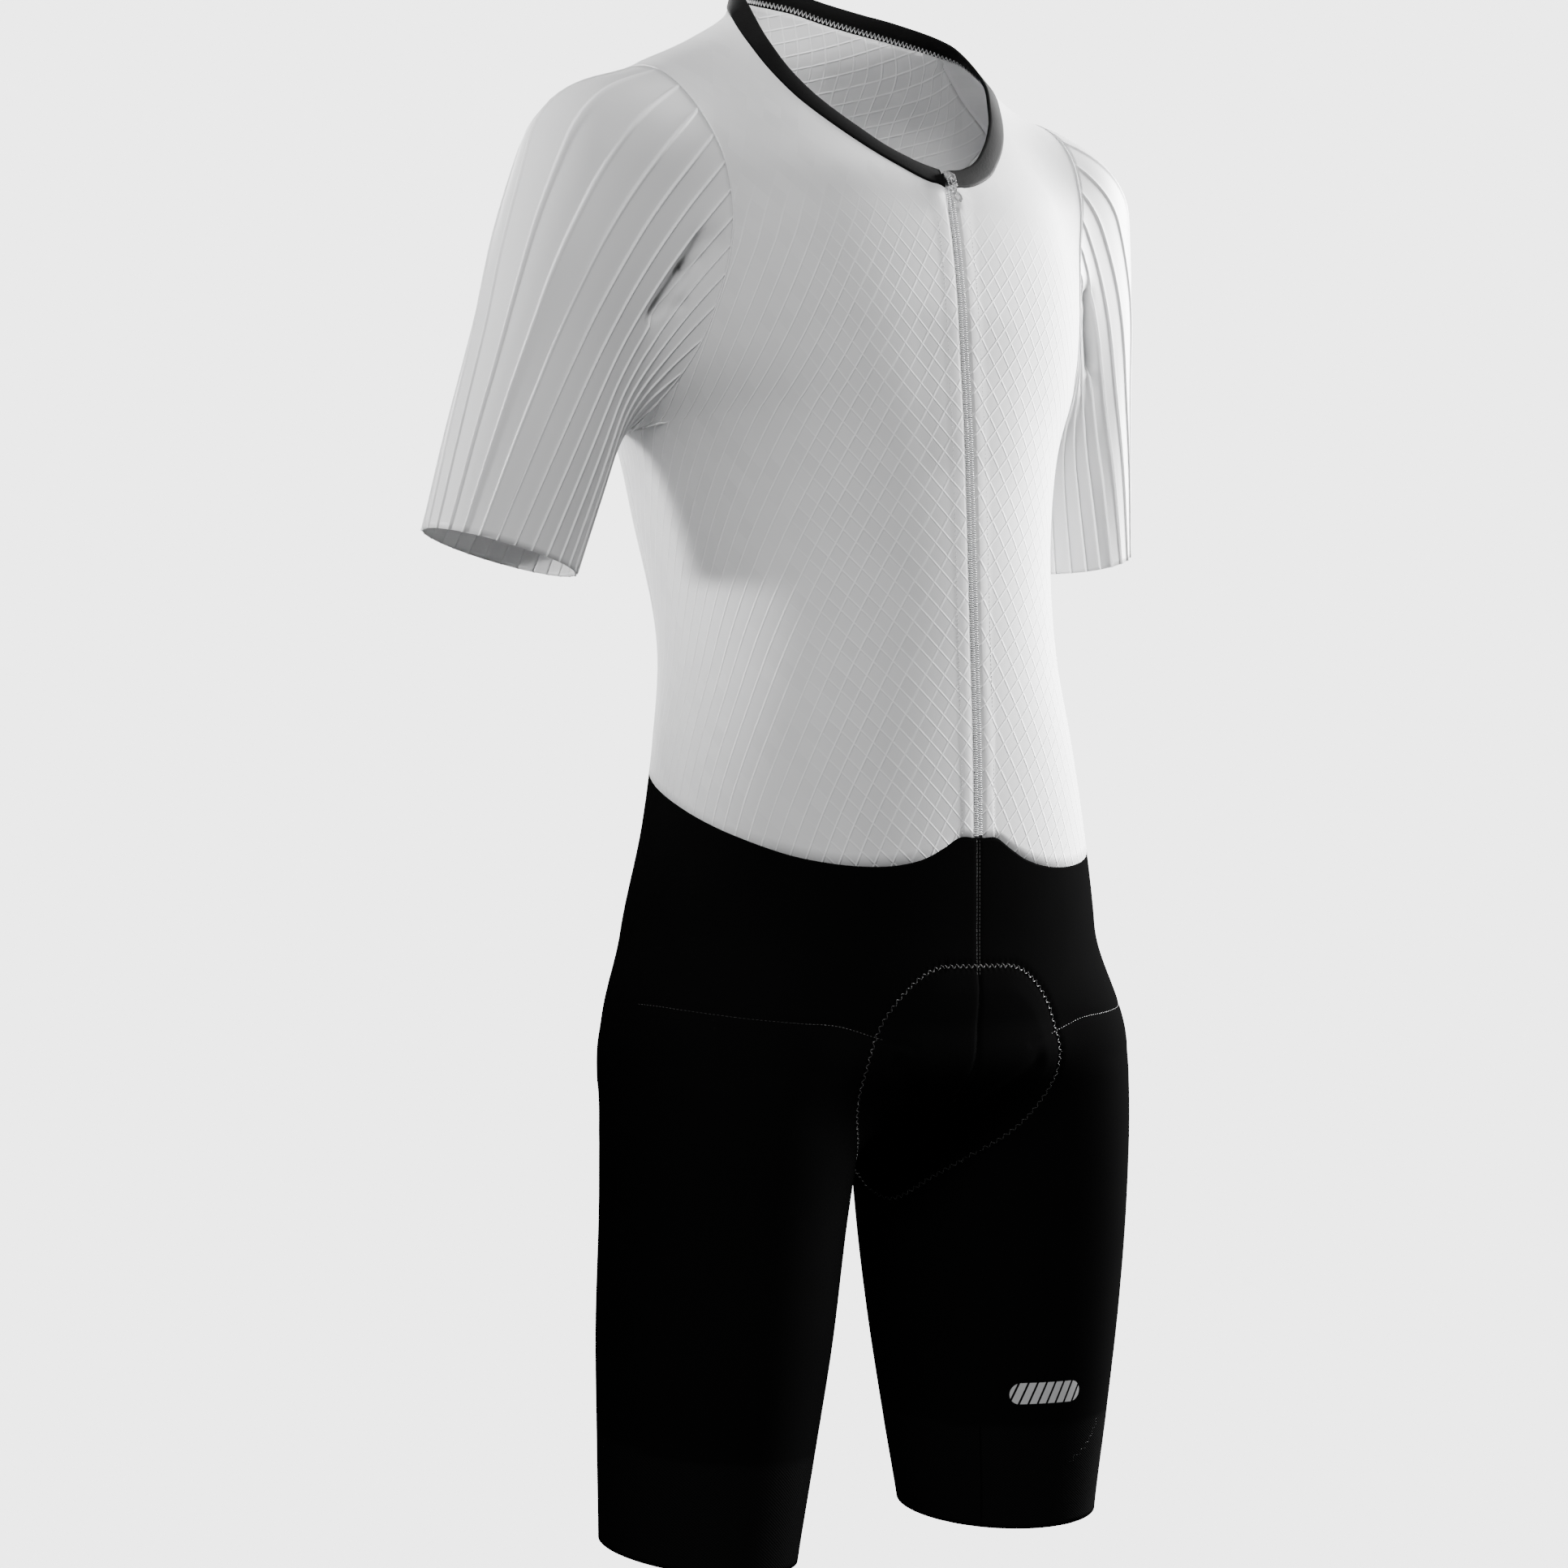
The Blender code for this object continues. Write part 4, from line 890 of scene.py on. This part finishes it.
# degrees round the fork, half width of the seat pad
PAD = np.array([(-14, 0.026), (-9, 0.046), (0, 0.064), (14, 0.076), (32, 0.076), (52, 0.062), (75, 0.046),
                (100, 0.044), (122, 0.060), (142, 0.072), (158, 0.068), (168, 0.050), (174, 0.028)])
PAD_ROWS = 14
PAD_STEPS = 4


def fork_point(angles):
    turn = np.radians(np.asarray(angles, float))
    return leave(np.array(FORK), np.column_stack([0 * turn, -np.cos(turn), -np.sin(turn)]))


def leg_axis(side, height):
    start, end = np.array(LEG_LINE["top"]), np.array(LEG_LINE["hem"])
    point = start + (end - start) * (height - start[2]) / (end[2] - start[2])
    return point * (side, 1, 1)


def hip_row(side, front_fork, back_fork, count):
    """Round the top of a thigh from the centre front over the outside to the centre back."""
    middle = np.array([leg_axis(side, z) for z in np.linspace(front_fork[2], back_fork[2], count)])
    first, last = front_fork - middle[0], back_fork - middle[-1]
    turn = np.linspace(np.arctan2(side * first[0], -first[1]),
                       np.arctan2(side * last[0], -last[1]) + 2 * np.pi, count)
    row = leave(middle, np.column_stack([side * np.sin(turn), -np.cos(turn), 0 * turn]))
    row[0], row[-1] = front_fork, back_fork
    return row


def leg_hem(side, ring):
    """The leg's hem, with a point under each point of the ring above it; it rises to the back and outside."""
    inner = leg_axis(side, ring[0, 2])
    turn = np.unwrap(np.arctan2(side * (ring[:, 0] - inner[0]), -(ring[:, 1] - inner[1])))
    even = turn[0] + np.linspace(0, 2 * np.pi, len(ring) + 1)[:-1] * np.sign(turn[-1] - turn[0])
    turn = turn + HEM_EVENED * (even - turn)
    heading = np.column_stack([side * np.sin(turn), -np.cos(turn),
                               HEM_RISE_OUT * np.sin(turn) - HEM_RISE_BACK * np.cos(turn)])
    return leave(leg_axis(side, LEG_HEM), heading)


def shorts_grids(side):
    """A half's two coarse grids: round the hip, from the centre front to the centre back, and the leg's."""
    pieces = len(WAIST_STEPS) * 2 + BACK_NECK_PIECES
    behind = across_back(SIDE_ANGLE, pieces, WAIST)
    half = behind[:pieces // 2 + 1] if side < 0 else behind[pieces // 2:][::-1]
    waist = np.concatenate([zip_edge(WAIST[:1, 1], 0.0), across_front(side, WAIST_STEPS, WAIST), half[1:]])
    front_fork, back_fork = fork_point([FORK_FRONT, FORK_BACK])
    centre_front = zip_edge(np.linspace(WAIST[0, 1], front_fork[2], HIP_ROWS + 1), 0.0)
    centre_front[-1] = front_fork
    heights = np.linspace(half[-1][2], back_fork[2], HIP_ROWS + 1)
    centre_back = leave(np.column_stack([0 * heights, 0 * heights, heights]),
                        np.tile((0.0, 1.0, 0.0), (HIP_ROWS + 1, 1)))
    centre_back[0], centre_back[-1] = half[-1], back_fork
    hip = hip_row(side, front_fork, back_fork, len(waist))
    upper = patch(waist, hip, centre_front, centre_back)
    ring = np.concatenate([hip, fork_point(np.linspace(FORK_BACK, FORK_FRONT, INNER_PIECES + 1))[1:-1]])
    t = np.linspace(0, 1, LEG_ROWS + 1)[:, None, None]
    leg = ring[None] * (1 - t) + leg_hem(side, ring)[None] * t
    leg[1:-1] = press(leg[1:-1])
    return upper, relax(leg, True)


def edge_loop(grid):
    """A grid's outer entries, once round."""
    return np.concatenate([grid[:-1, 0], grid[-1, :-1], grid[:0:-1, -1], grid[0, :0:-1]])


def pad_grid():
    """The seat pad's coarse grid on the form: rows round the fork, columns from right to left."""
    angles = np.linspace(PAD[0, 0], PAD[-1, 0], PAD_ROWS + 1)
    middle, reach = fork_point(angles), smooth(PAD)(angles)[:, 0]
    sides = [walk(middle, np.tile((s, 0.0, 0.0), (PAD_ROWS + 1, 1)), reach, PAD_STEPS) for s in (-1.0, 1.0)]
    return np.concatenate([sides[0][:0:-1], sides[1]]).transpose(1, 0, 2)


def even_line(line, pitch, joined=False):
    """A line's points set again at even steps of about this length, on a smooth curve through its own."""
    if joined:
        line = np.concatenate([line, line[:1]])
    run = run_along(line)
    steps = max(int(round(run[-1] / pitch)), 2)
    at = np.linspace(0, run[-1], steps + 1)
    if joined:
        line = np.concatenate([line[-3:-1], line, line[1:3]])
        run = np.concatenate([run[-3:-1] - run[-1], run, run[-1] + run[1:3]])
    return smooth(np.column_stack([run, line]))(at)


def leftward(line):
    """Unit vectors on the form that point to the left of a line's run, seen from outside."""
    return unit(np.cross(outward(line), np.gradient(line, axis=0)))


def near_line(points, line):
    """For each point, its signed distance from a line on the form (positive to the left of the line's run,
    seen from outside), and how far along the line that is."""
    run = run_along(line)
    left = leftward(line)
    away, along = [], []
    for part in np.array_split(points, 1 + len(points) // 4000):
        nearest = np.argmin(((part[:, None] - line[None])**2).sum(axis=2), axis=1)
        v = part - line[nearest]
        away.append(np.linalg.norm(v, axis=1) * np.sign((v * left[nearest]).sum(axis=1)))
        along.append(run[nearest])
    return np.concatenate(away), np.concatenate(along)


# a plain printed mark on the left thigh, as slanting bars inside a rounded outline
MARK_PLACE = np.array((0.0964, -0.0616, -0.8152))
MARK_HALF = 0.023                   # half its length
MARK_RADIUS = 0.0065                # half its height, and its ends' radius
MARK_BAR = 0.0058                   # from one bar to the next
MARK_TONE = 0.55
BLACK_TONE = 0.0034


def black_knit():
    """Dense black knit: fine loops, puckers along the sewn pad outline, the close ribbing of the gripper
    bands, and the mark on the thigh."""
    material, shader, start = finish("black_shorts_knit", 0.70, specular=0.0)
    cloudy = start.noise(14.0)
    band = start.field("gripper")
    light = BLACK_TONE + (cloudy - 0.5) * 0.0012 + band * 0.0016
    across, up = start.field("mark_across"), start.field("mark_up")
    end = (across.math("ABSOLUTE") - (MARK_HALF - MARK_RADIUS)).math("MAXIMUM", 0.0)
    pill = 1 - (end * end + up * up).math("SQRT").between(MARK_RADIUS - 0.0003, MARK_RADIUS)
    bars = 1 - ((across + up * 0.4) * (1 / MARK_BAR)).math("PINGPONG", 0.5).between(0.36, 0.40)
    light = light + pill * bars * MARK_TONE
    connect(light.tint(BLACK, (1, 1, 1.01, 1)), shader, "Base Color")
    loops = start.noise(LOOP_SCALE * 0.8, detail=1.5)
    around, down = start.field("around"), start.field("down")
    weft = (down * (2 * np.pi / 0.0016)).math("SINE")
    warp = (around * (2 * np.pi / 0.0022)).math("SINE")
    away, run = start.field("pad_away"), start.field("pad_run")
    near = 1 - away.math("ABSOLUTE").between(0.0004, 0.0060)
    pucker = (run * (2 * np.pi / 0.0046) + cloudy * 9.0).math("SINE") * near * near
    height = loops * 0.25 + band * (weft * warp) * 0.5 + pucker * 0.9
    emboss(height, shader, 0.00022)
    return material


BLACK_KNIT = black_knit()
PUCKER_REACH = 0.0026
SEAM_SUNK = 0.0007
DART_SUNK = 0.0005
DART_REACH = 0.0018
PAD_SHOWS = 0.0010                  # how far the pad pushes the knit out
SHORTS_CUT = (0.62, 0.56)
# the seam across the top of each thigh, from the outside to the centre front: right side, x, y, z
DART = np.array([(-0.172, -0.010, -0.581), (-0.166, -0.045, -0.584), (-0.149, -0.070, -0.587),
                 (-0.123, -0.083, -0.590), (-0.099, -0.089, -0.592), (-0.069, -0.094, -0.600),
                 (-0.046, -0.096, -0.606)])
pad_coarse = pad_grid()
pad_line = press(even_line(edge_loop(pad_coarse), 0.0011, joined=True))
dart_line = {side: press(even_line(press(DART * (-side, 1, 1)), 0.0012)) for side in (-1, 1)}
front_fork, inside_point = fork_point([FORK_FRONT, 10])
for side, word in ((-1, "right"), (1, "left")):
    upper, leg = shorts_grids(side)
    columns = upper.shape[1] - 1
    upper = refine(upper, every(HIP_ROWS, 10), every(columns, 8))
    leg = refine(leg, every(LEG_ROWS, 8), every(leg.shape[1], 8)[:-1], joined=True)
    leg[0, :upper.shape[1]] = upper[-1]
    points = np.concatenate([upper.reshape(-1, 3), leg.reshape(-1, 3)])
    away, run = near_line(points, pad_line)
    dart_away, _ = near_line(points, dart_line[side])
    centre = np.abs(points[:, 0]) + 10 * (points[:, 2] < front_fork[2])
    on_pad = np.argmin(np.linalg.norm(points - inside_point, axis=1))
    inside_pad = ease(away * np.sign(away[on_pad]), 0.002, 0.016)
    lift = (PAD_SHOWS * inside_pad - SEAM_SUNK * np.exp(-(away / PUCKER_REACH)**2)
            - DART_SUNK * (np.exp(-(dart_away / DART_REACH)**2) + np.exp(-(centre / DART_REACH)**2)))
    above = 0 * upper[..., 0].ravel()
    up = np.concatenate([above + 1, np.linalg.norm(leg - leg[-1], axis=2).ravel()])
    around = np.concatenate([above, np.array([run_along(row) for row in leg]).ravel()])
    fields = {"pad_away": away, "pad_run": run, "gripper": 1 - ease(up, GRIPPER - 0.001, GRIPPER + 0.001),
              "down": points[:, 2], "around": around}
    off = points - MARK_PLACE
    sideways = unit(np.cross(outward(MARK_PLACE[None])[0], (0.0, 0.0, 1.0)))
    there = np.linalg.norm(off, axis=1) < 0.05
    fields["mark_across"] = np.where(there, off @ sideways, 1.0)
    fields["mark_up"] = np.where(there, off[:, 2], 1.0)
    shorts = cloth_piece("shorts_cloth_" + word, [(upper, False), (leg, True)], BLACK_KNIT, lift, fields)
    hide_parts("shorts_" + word)
    cut_cloth(shorts, *SHORTS_CUT)


# The seat pad
# Black brushed knit over moulded foam, sewn inside the shorts round its edge. It is one padded piece, thick
# in the middle and thin at the rim, with two sewn channels along it and one across the front.
PAD_FACE = -0.0047                  # its side towards the shorts, from the form
PAD_RIM = 0.0012
PAD_CROWN = 0.0046                  # how much thicker the middle is
CHANNEL = 0.0030                    # half a channel's width
CHANNEL_DEPTH = 0.0022
CHANNEL_APART = 0.013               # each long channel, from the middle
PAD_LENGTH = 0.36
CROSS_CHANNEL = 0.34                # the share of the length where the channel across lies


def pad_thickness(u, v, width):
    """The pad's thickness where u runs from one edge to the other and v from its front to its back, both 0
    to 1: a rim, a crown that rises inside it, and channels cut into the crown."""
    from_side = np.minimum(u, 1 - u) * width
    from_end = np.minimum(v, 1 - v) * PAD_LENGTH
    crown = ease(from_side, 0.0, 0.016) * ease(from_end, 0.0, 0.020)
    long = (np.abs(u - 0.5) * width - CHANNEL_APART) / CHANNEL
    cross = ((v - CROSS_CHANNEL) * PAD_LENGTH - 0.025 * (u - 0.5)**2) / CHANNEL
    channels = np.exp(-long**2) * ease(v, 0.10, 0.16) * (1 - ease(v, 0.80, 0.90)) + np.exp(-cross**2)
    return PAD_RIM + crown * (PAD_CROWN - CHANNEL_DEPTH * np.minimum(channels, 1))


grid = refine(pad_coarse, every(PAD_ROWS, 10), every(2 * PAD_STEPS, 12))
u = np.array([run_along(row) for row in grid])
width = u[:, -1:]
thick = pad_thickness(u / width, np.linspace(0, 1, len(grid))[:, None], width)
n = outward(grid)
face, back_of_pad = grid + n * PAD_FACE, grid + n * (PAD_FACE - thick[..., None])
rows, columns = grid.shape[:2]
count = rows * columns
faces = grid_faces(rows, columns)
index = np.arange(count).reshape(rows, columns)
loop = edge_loop(index)
rim = np.column_stack([loop, np.roll(loop, -1), np.roll(loop, -1) + count, loop + count])
if (across_faces(face.reshape(-1, 3), faces) * n.reshape(-1, 3)[faces[:, 0]]).sum() < 0:
    faces = faces[:, ::-1]
else:
    rim = rim[:, ::-1]
# brushed black knit with a fine nap
pad_fabric = grained("pad_fabric", 0.85, (0.006, 0.014), 30.0, (1400.0, 2.0, 0.00012), specular=0.15, sheen=0.3)
pad = mesh_piece("seat_pad_cushion", np.concatenate([face.reshape(-1, 3), back_of_pad.reshape(-1, 3)]),
                 np.concatenate([faces, faces[:, ::-1] + count, rim]), pad_fabric)
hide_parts("seat_pad")


# The zip
# Two white woven tapes inside the fronts, a closed white nylon coil between the fronts' edges, and a nickel
# slider at its top with a ring pull that hangs from the slider's bridge.
TAPE_DEPTH = 0.0018
TAPE_WALL = 0.0007
TAPE_SHARE = 0.7
TOOTH_PITCH = 0.0013
# across from the centre, out from the form, half length across, half height, half width along
TOOTH = (0.00155, -0.00035, 0.00170, 0.00110, 0.00056)
TEETH_START = WAIST[0, 1] + 0.0012
TAPE_CUT = (0.0185, 0.40)


def woven_tape():
    """White woven tape with a fine rib across it."""
    material, shader, start = finish("zip_tape_weave", 0.6, specular=0.25, sheen=0.15)
    cloudy = start.noise(120.0)
    connect(cloudy.tint(grey(0.66), grey(0.78)), shader, "Base Color")
    place = start.node("TexCoord", output=3)
    wave = start.node("TexWave", {"bands_direction": "Z"}, {"Vector": place, "Scale": 300.0}, output=1)
    emboss(wave, shader, 0.00015)
    return material


def tape_grid(side, collar_lines):
    """A zip tape's coarse points: the zip's centre line, the front's edge, and part of its first column,
    with the collar's end above them."""
    edge = np.concatenate([front_coarse[side][:LOWER_ROWS + ZIP_ROWS + 1, :2], collar_lines])
    edge[:, 1] = edge[:, 0] + TAPE_SHARE * (edge[:, 1] - edge[:, 0])
    return np.concatenate([zip_edge(edge[:, 0, 2], 0.0)[:, None], edge], axis=1)


WOVEN_TAPE = woven_tape()
rows_of_neck = neck_rows()
for side, word in ((-1, "right"), (1, "left")):
    ends = rows_of_neck[1:, :2] if side < 0 else rows_of_neck[1:, :-3:-1]
    coarse = tape_grid(side, ends)
    grid = refine(coarse, every(len(coarse) - 1, 6), every(2, 4))
    tape = cloth_piece("zip_tape_cloth_" + word, [(grid, False)], WOVEN_TAPE, -TAPE_DEPTH, {}, TAPE_WALL)
    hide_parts("zip_tape_" + word)
    cut_cloth(tape, *TAPE_CUT)
tape_top = coarse[-1, 0, 2]


def repeated(name, points, faces, frames, material):
    """Many copies of one small closed mesh as one piece. Frames holds, for each copy, an origin and three
    axes, as [copies, 4, 3]."""
    made = frames[:, 0][:, None] + np.einsum("pk,nkc->npc", points, frames[:, 1:])
    every_face = faces[None] + (np.arange(len(frames)) * len(points))[:, None, None]
    return mesh_piece(name, made.reshape(-1, 3), every_face.reshape(-1, faces.shape[1]), material)


def bean(rings=5, sides=8):
    """A small ellipsoid of half sizes 1, long in its first axis, from pole to pole."""
    turn = np.linspace(0, 2 * np.pi, sides, endpoint=False)
    down = np.linspace(0, np.pi, rings + 2)[1:-1]
    body = np.stack([np.repeat(np.cos(down), sides), np.outer(np.sin(down), np.cos(turn)).ravel(),
                     np.outer(np.sin(down), np.sin(turn)).ravel()], axis=1)
    points = np.concatenate([body, [(1, 0, 0), (-1, 0, 0)]])
    quads = grid_faces(rings, sides, joined=True)
    j = np.arange(sides)
    k = (j + 1) % sides
    last_ring = np.array([1, 1, 0]) * (rings - 1) * sides
    caps = [np.column_stack([j, k, np.full(sides, rings * sides)]),
            np.column_stack([k, j, np.full(sides, rings * sides + 1)]) + last_ring]
    triangles = np.concatenate([in_triangles(quads), caps[0][:, ::-1], caps[1][:, ::-1]])
    outwards = (across_faces(points, triangles) * points[triangles[:, 0]]).sum() > 0
    return points, triangles if outwards else triangles[:, ::-1]


NYLON = grained("zip_nylon", 0.35, (0.72, 0.82), 300.0, specular=0.5)     # white, a little glossy
teeth = int((tape_top - 0.001 - TEETH_START) / TOOTH_PITCH)
heights = TEETH_START + TOOTH_PITCH * np.arange(teeth)
frames = []
for side, start in ((-1, 0.0), (1, 0.5)):
    path = zip_edge(heights + start * TOOTH_PITCH, 0.0)
    n = outward(path)
    across_zip = np.tile((1.0, 0.0, 0.0), (teeth, 1))
    up = np.cross(n, across_zip)
    place = path + across_zip * side * TOOTH[0] + n * TOOTH[1]
    frames.append(np.stack([place, across_zip * TOOTH[2], n * TOOTH[3], up * TOOTH[4]], axis=1))
coil = repeated("zip_coil_teeth", *bean(), np.concatenate(frames), NYLON)
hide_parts("zip_coil")


def nickel():
    """Polished nickel with faint wear."""
    material, shader, start = finish("zip_nickel", 0.22, specular=0.5, metallic=1.0)
    worn = start.noise(400.0)
    connect(worn.tint(grey(0.48), grey(0.62)), shader, "Base Color")
    connect(0.16 + worn * 0.22, shader, "Roughness")
    return material


def metal_copy(name, node, material, body):
    """A copy of a solid with its doubles merged and its edges rounded."""
    mesh = bpy.data.objects[node].data.copy()
    mesh.materials.clear()
    mesh.materials.append(material)
    whole = bmesh.new()
    whole.from_mesh(mesh)
    bmesh.ops.remove_doubles(whole, verts=whole.verts, dist=1e-6)
    bmesh.ops.dissolve_limit(whole, angle_limit=radians(1), verts=whole.verts, edges=whole.edges)
    whole.to_mesh(mesh)
    whole.free()
    mesh.shade_smooth()
    mesh.set_sharp_from_angle(angle=radians(40))
    thing = bpy.data.objects.new(name, mesh)
    bpy.context.scene.collection.objects.link(thing)
    rounded = thing.modifiers.new("edges", "BEVEL")
    rounded.width = 0.00022
    rounded.segments = 3
    rounded.limit_method = "ANGLE"
    rounded.angle_limit = radians(35)
    rounded.harden_normals = True
    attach(thing, body)
    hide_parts(node)
    return thing


NICKEL = nickel()
metal_copy("zip_slider_metal", "zip_slider", NICKEL, "suit")
metal_copy("zip_pull_metal", "zip_pull", NICKEL, "pull")


# The seams and the stitching
# The sleeves are set in with a narrow taped seam that stands up as a light line. Thread is white on white
# and black on black: along the zip, round the pad, down the centre front, over the thighs and in the collar.
def bead(name, line, radius, out, material, sides=8):
    """A thin raised line on the form: a circle of this radius carried along it."""
    n = outward(line)
    left = np.cross(n, unit(np.gradient(line, axis=0)))
    turn = np.linspace(0, 2 * np.pi, sides, endpoint=False)[None, :, None]
    middle = line + n * out
    grid = middle[:, None] + radius * (np.cos(turn) * n[:, None] + np.sin(turn) * left[:, None])
    return closed_band(name, grid, material, middle)


def thread(name, darkest, lightest):
    return grained(name, 0.5, (darkest, lightest), 700.0, specular=0.3, sheen=0.2)


WHITE_THREAD = thread("white_thread", 0.74, 0.88)
BLACK_THREAD = thread("black_thread", 0.012, 0.03)
STITCH = 0.00028                    # half a thread's width


def stitches(name, starts, ends, out, material, slot, half=STITCH):
    """One small spindle of thread from each start to its end, lying on the form."""
    middle = (starts + ends) / 2
    run = (ends - starts) / 2
    n = outward(press(middle, 2))
    left = unit(np.cross(n, run))
    frames = np.stack([middle + n * out, run, n * half, left * half], axis=1)
    piece = repeated(name, *bean(rings=3, sides=6), frames, material)
    return piece


def offset_line(line, away):
    """A line moved sideways over the form, to the left of its run, by one distance or by one a point."""
    return press(line + leftward(line) * np.asarray(away)[..., None], 4)


def zigzag(line, pitch, half):
    """The ends of zigzag stitches along a line: to one side, then to the other."""
    path = even_line(line, pitch / 2)
    sway = half * (-1.0)**np.arange(len(path))
    path = offset_line(path, sway)
    return path[:-1], path[1:]


def straight(line, pitch, share):
    """The ends of straight stitches along a line, each filling this share of its step."""
    path = even_line(line, pitch)
    return path[:-1], path[:-1] + share * np.diff(path, axis=0)


SEAM_RADIUS = 0.00055
TOPSTITCH_AT = 0.0129               # from the centre of the zip
CENTRE_STITCH_AT = 0.0011
for side, word in ((-1, "right"), (1, "left")):
    ring = press(even_line(armhole(side), 0.004, joined=True))
    seam = bead("armhole_seam_" + word, ring, SEAM_RADIUS, 0.0001, WHITE_THREAD)
    edge = zip_edge(np.linspace(WAIST[0, 1] + 0.002, NECKLINE[0, 1] - 0.001, 330), side * TOPSTITCH_AT)
    stitches("zip_topstitch_" + word, *straight(edge, 0.0024, 0.72), 0.0001, WHITE_THREAD, "sheer_knit",
             0.00022)
    stitches("thigh_stitch_" + word, *straight(dart_line[side], 0.0024, 0.7), -0.0004, BLACK_THREAD,
             "black_knit", 0.0002)
stitches("pad_zigzag", *zigzag(pad_line, 0.0046, 0.0013), -0.0004, BLACK_THREAD, "black_knit")
centre_front = zip_edge(np.linspace(WAIST[0, 1] - 0.001, front_fork[2], 200), 0.0)
for side, word in ((-1, "right"), (1, "left")):
    line = offset_line(centre_front, side * CENTRE_STITCH_AT)
    stitches("centre_stitch_" + word, *straight(line, 0.0022, 0.7), -0.0003, BLACK_THREAD, "black_knit",
             0.0002)

neck = rows_of_neck.transpose(1, 0, 2)
line = refine(neck, every(len(neck) - 1, 12), np.array([0.36]))[:, 0]
grey_thread = thread("grey_thread", 0.35, 0.62)
stitches("collar_overlock", *zigzag(line, 0.0026, 0.0019), -0.0016, grey_thread, "binding", 0.00032)
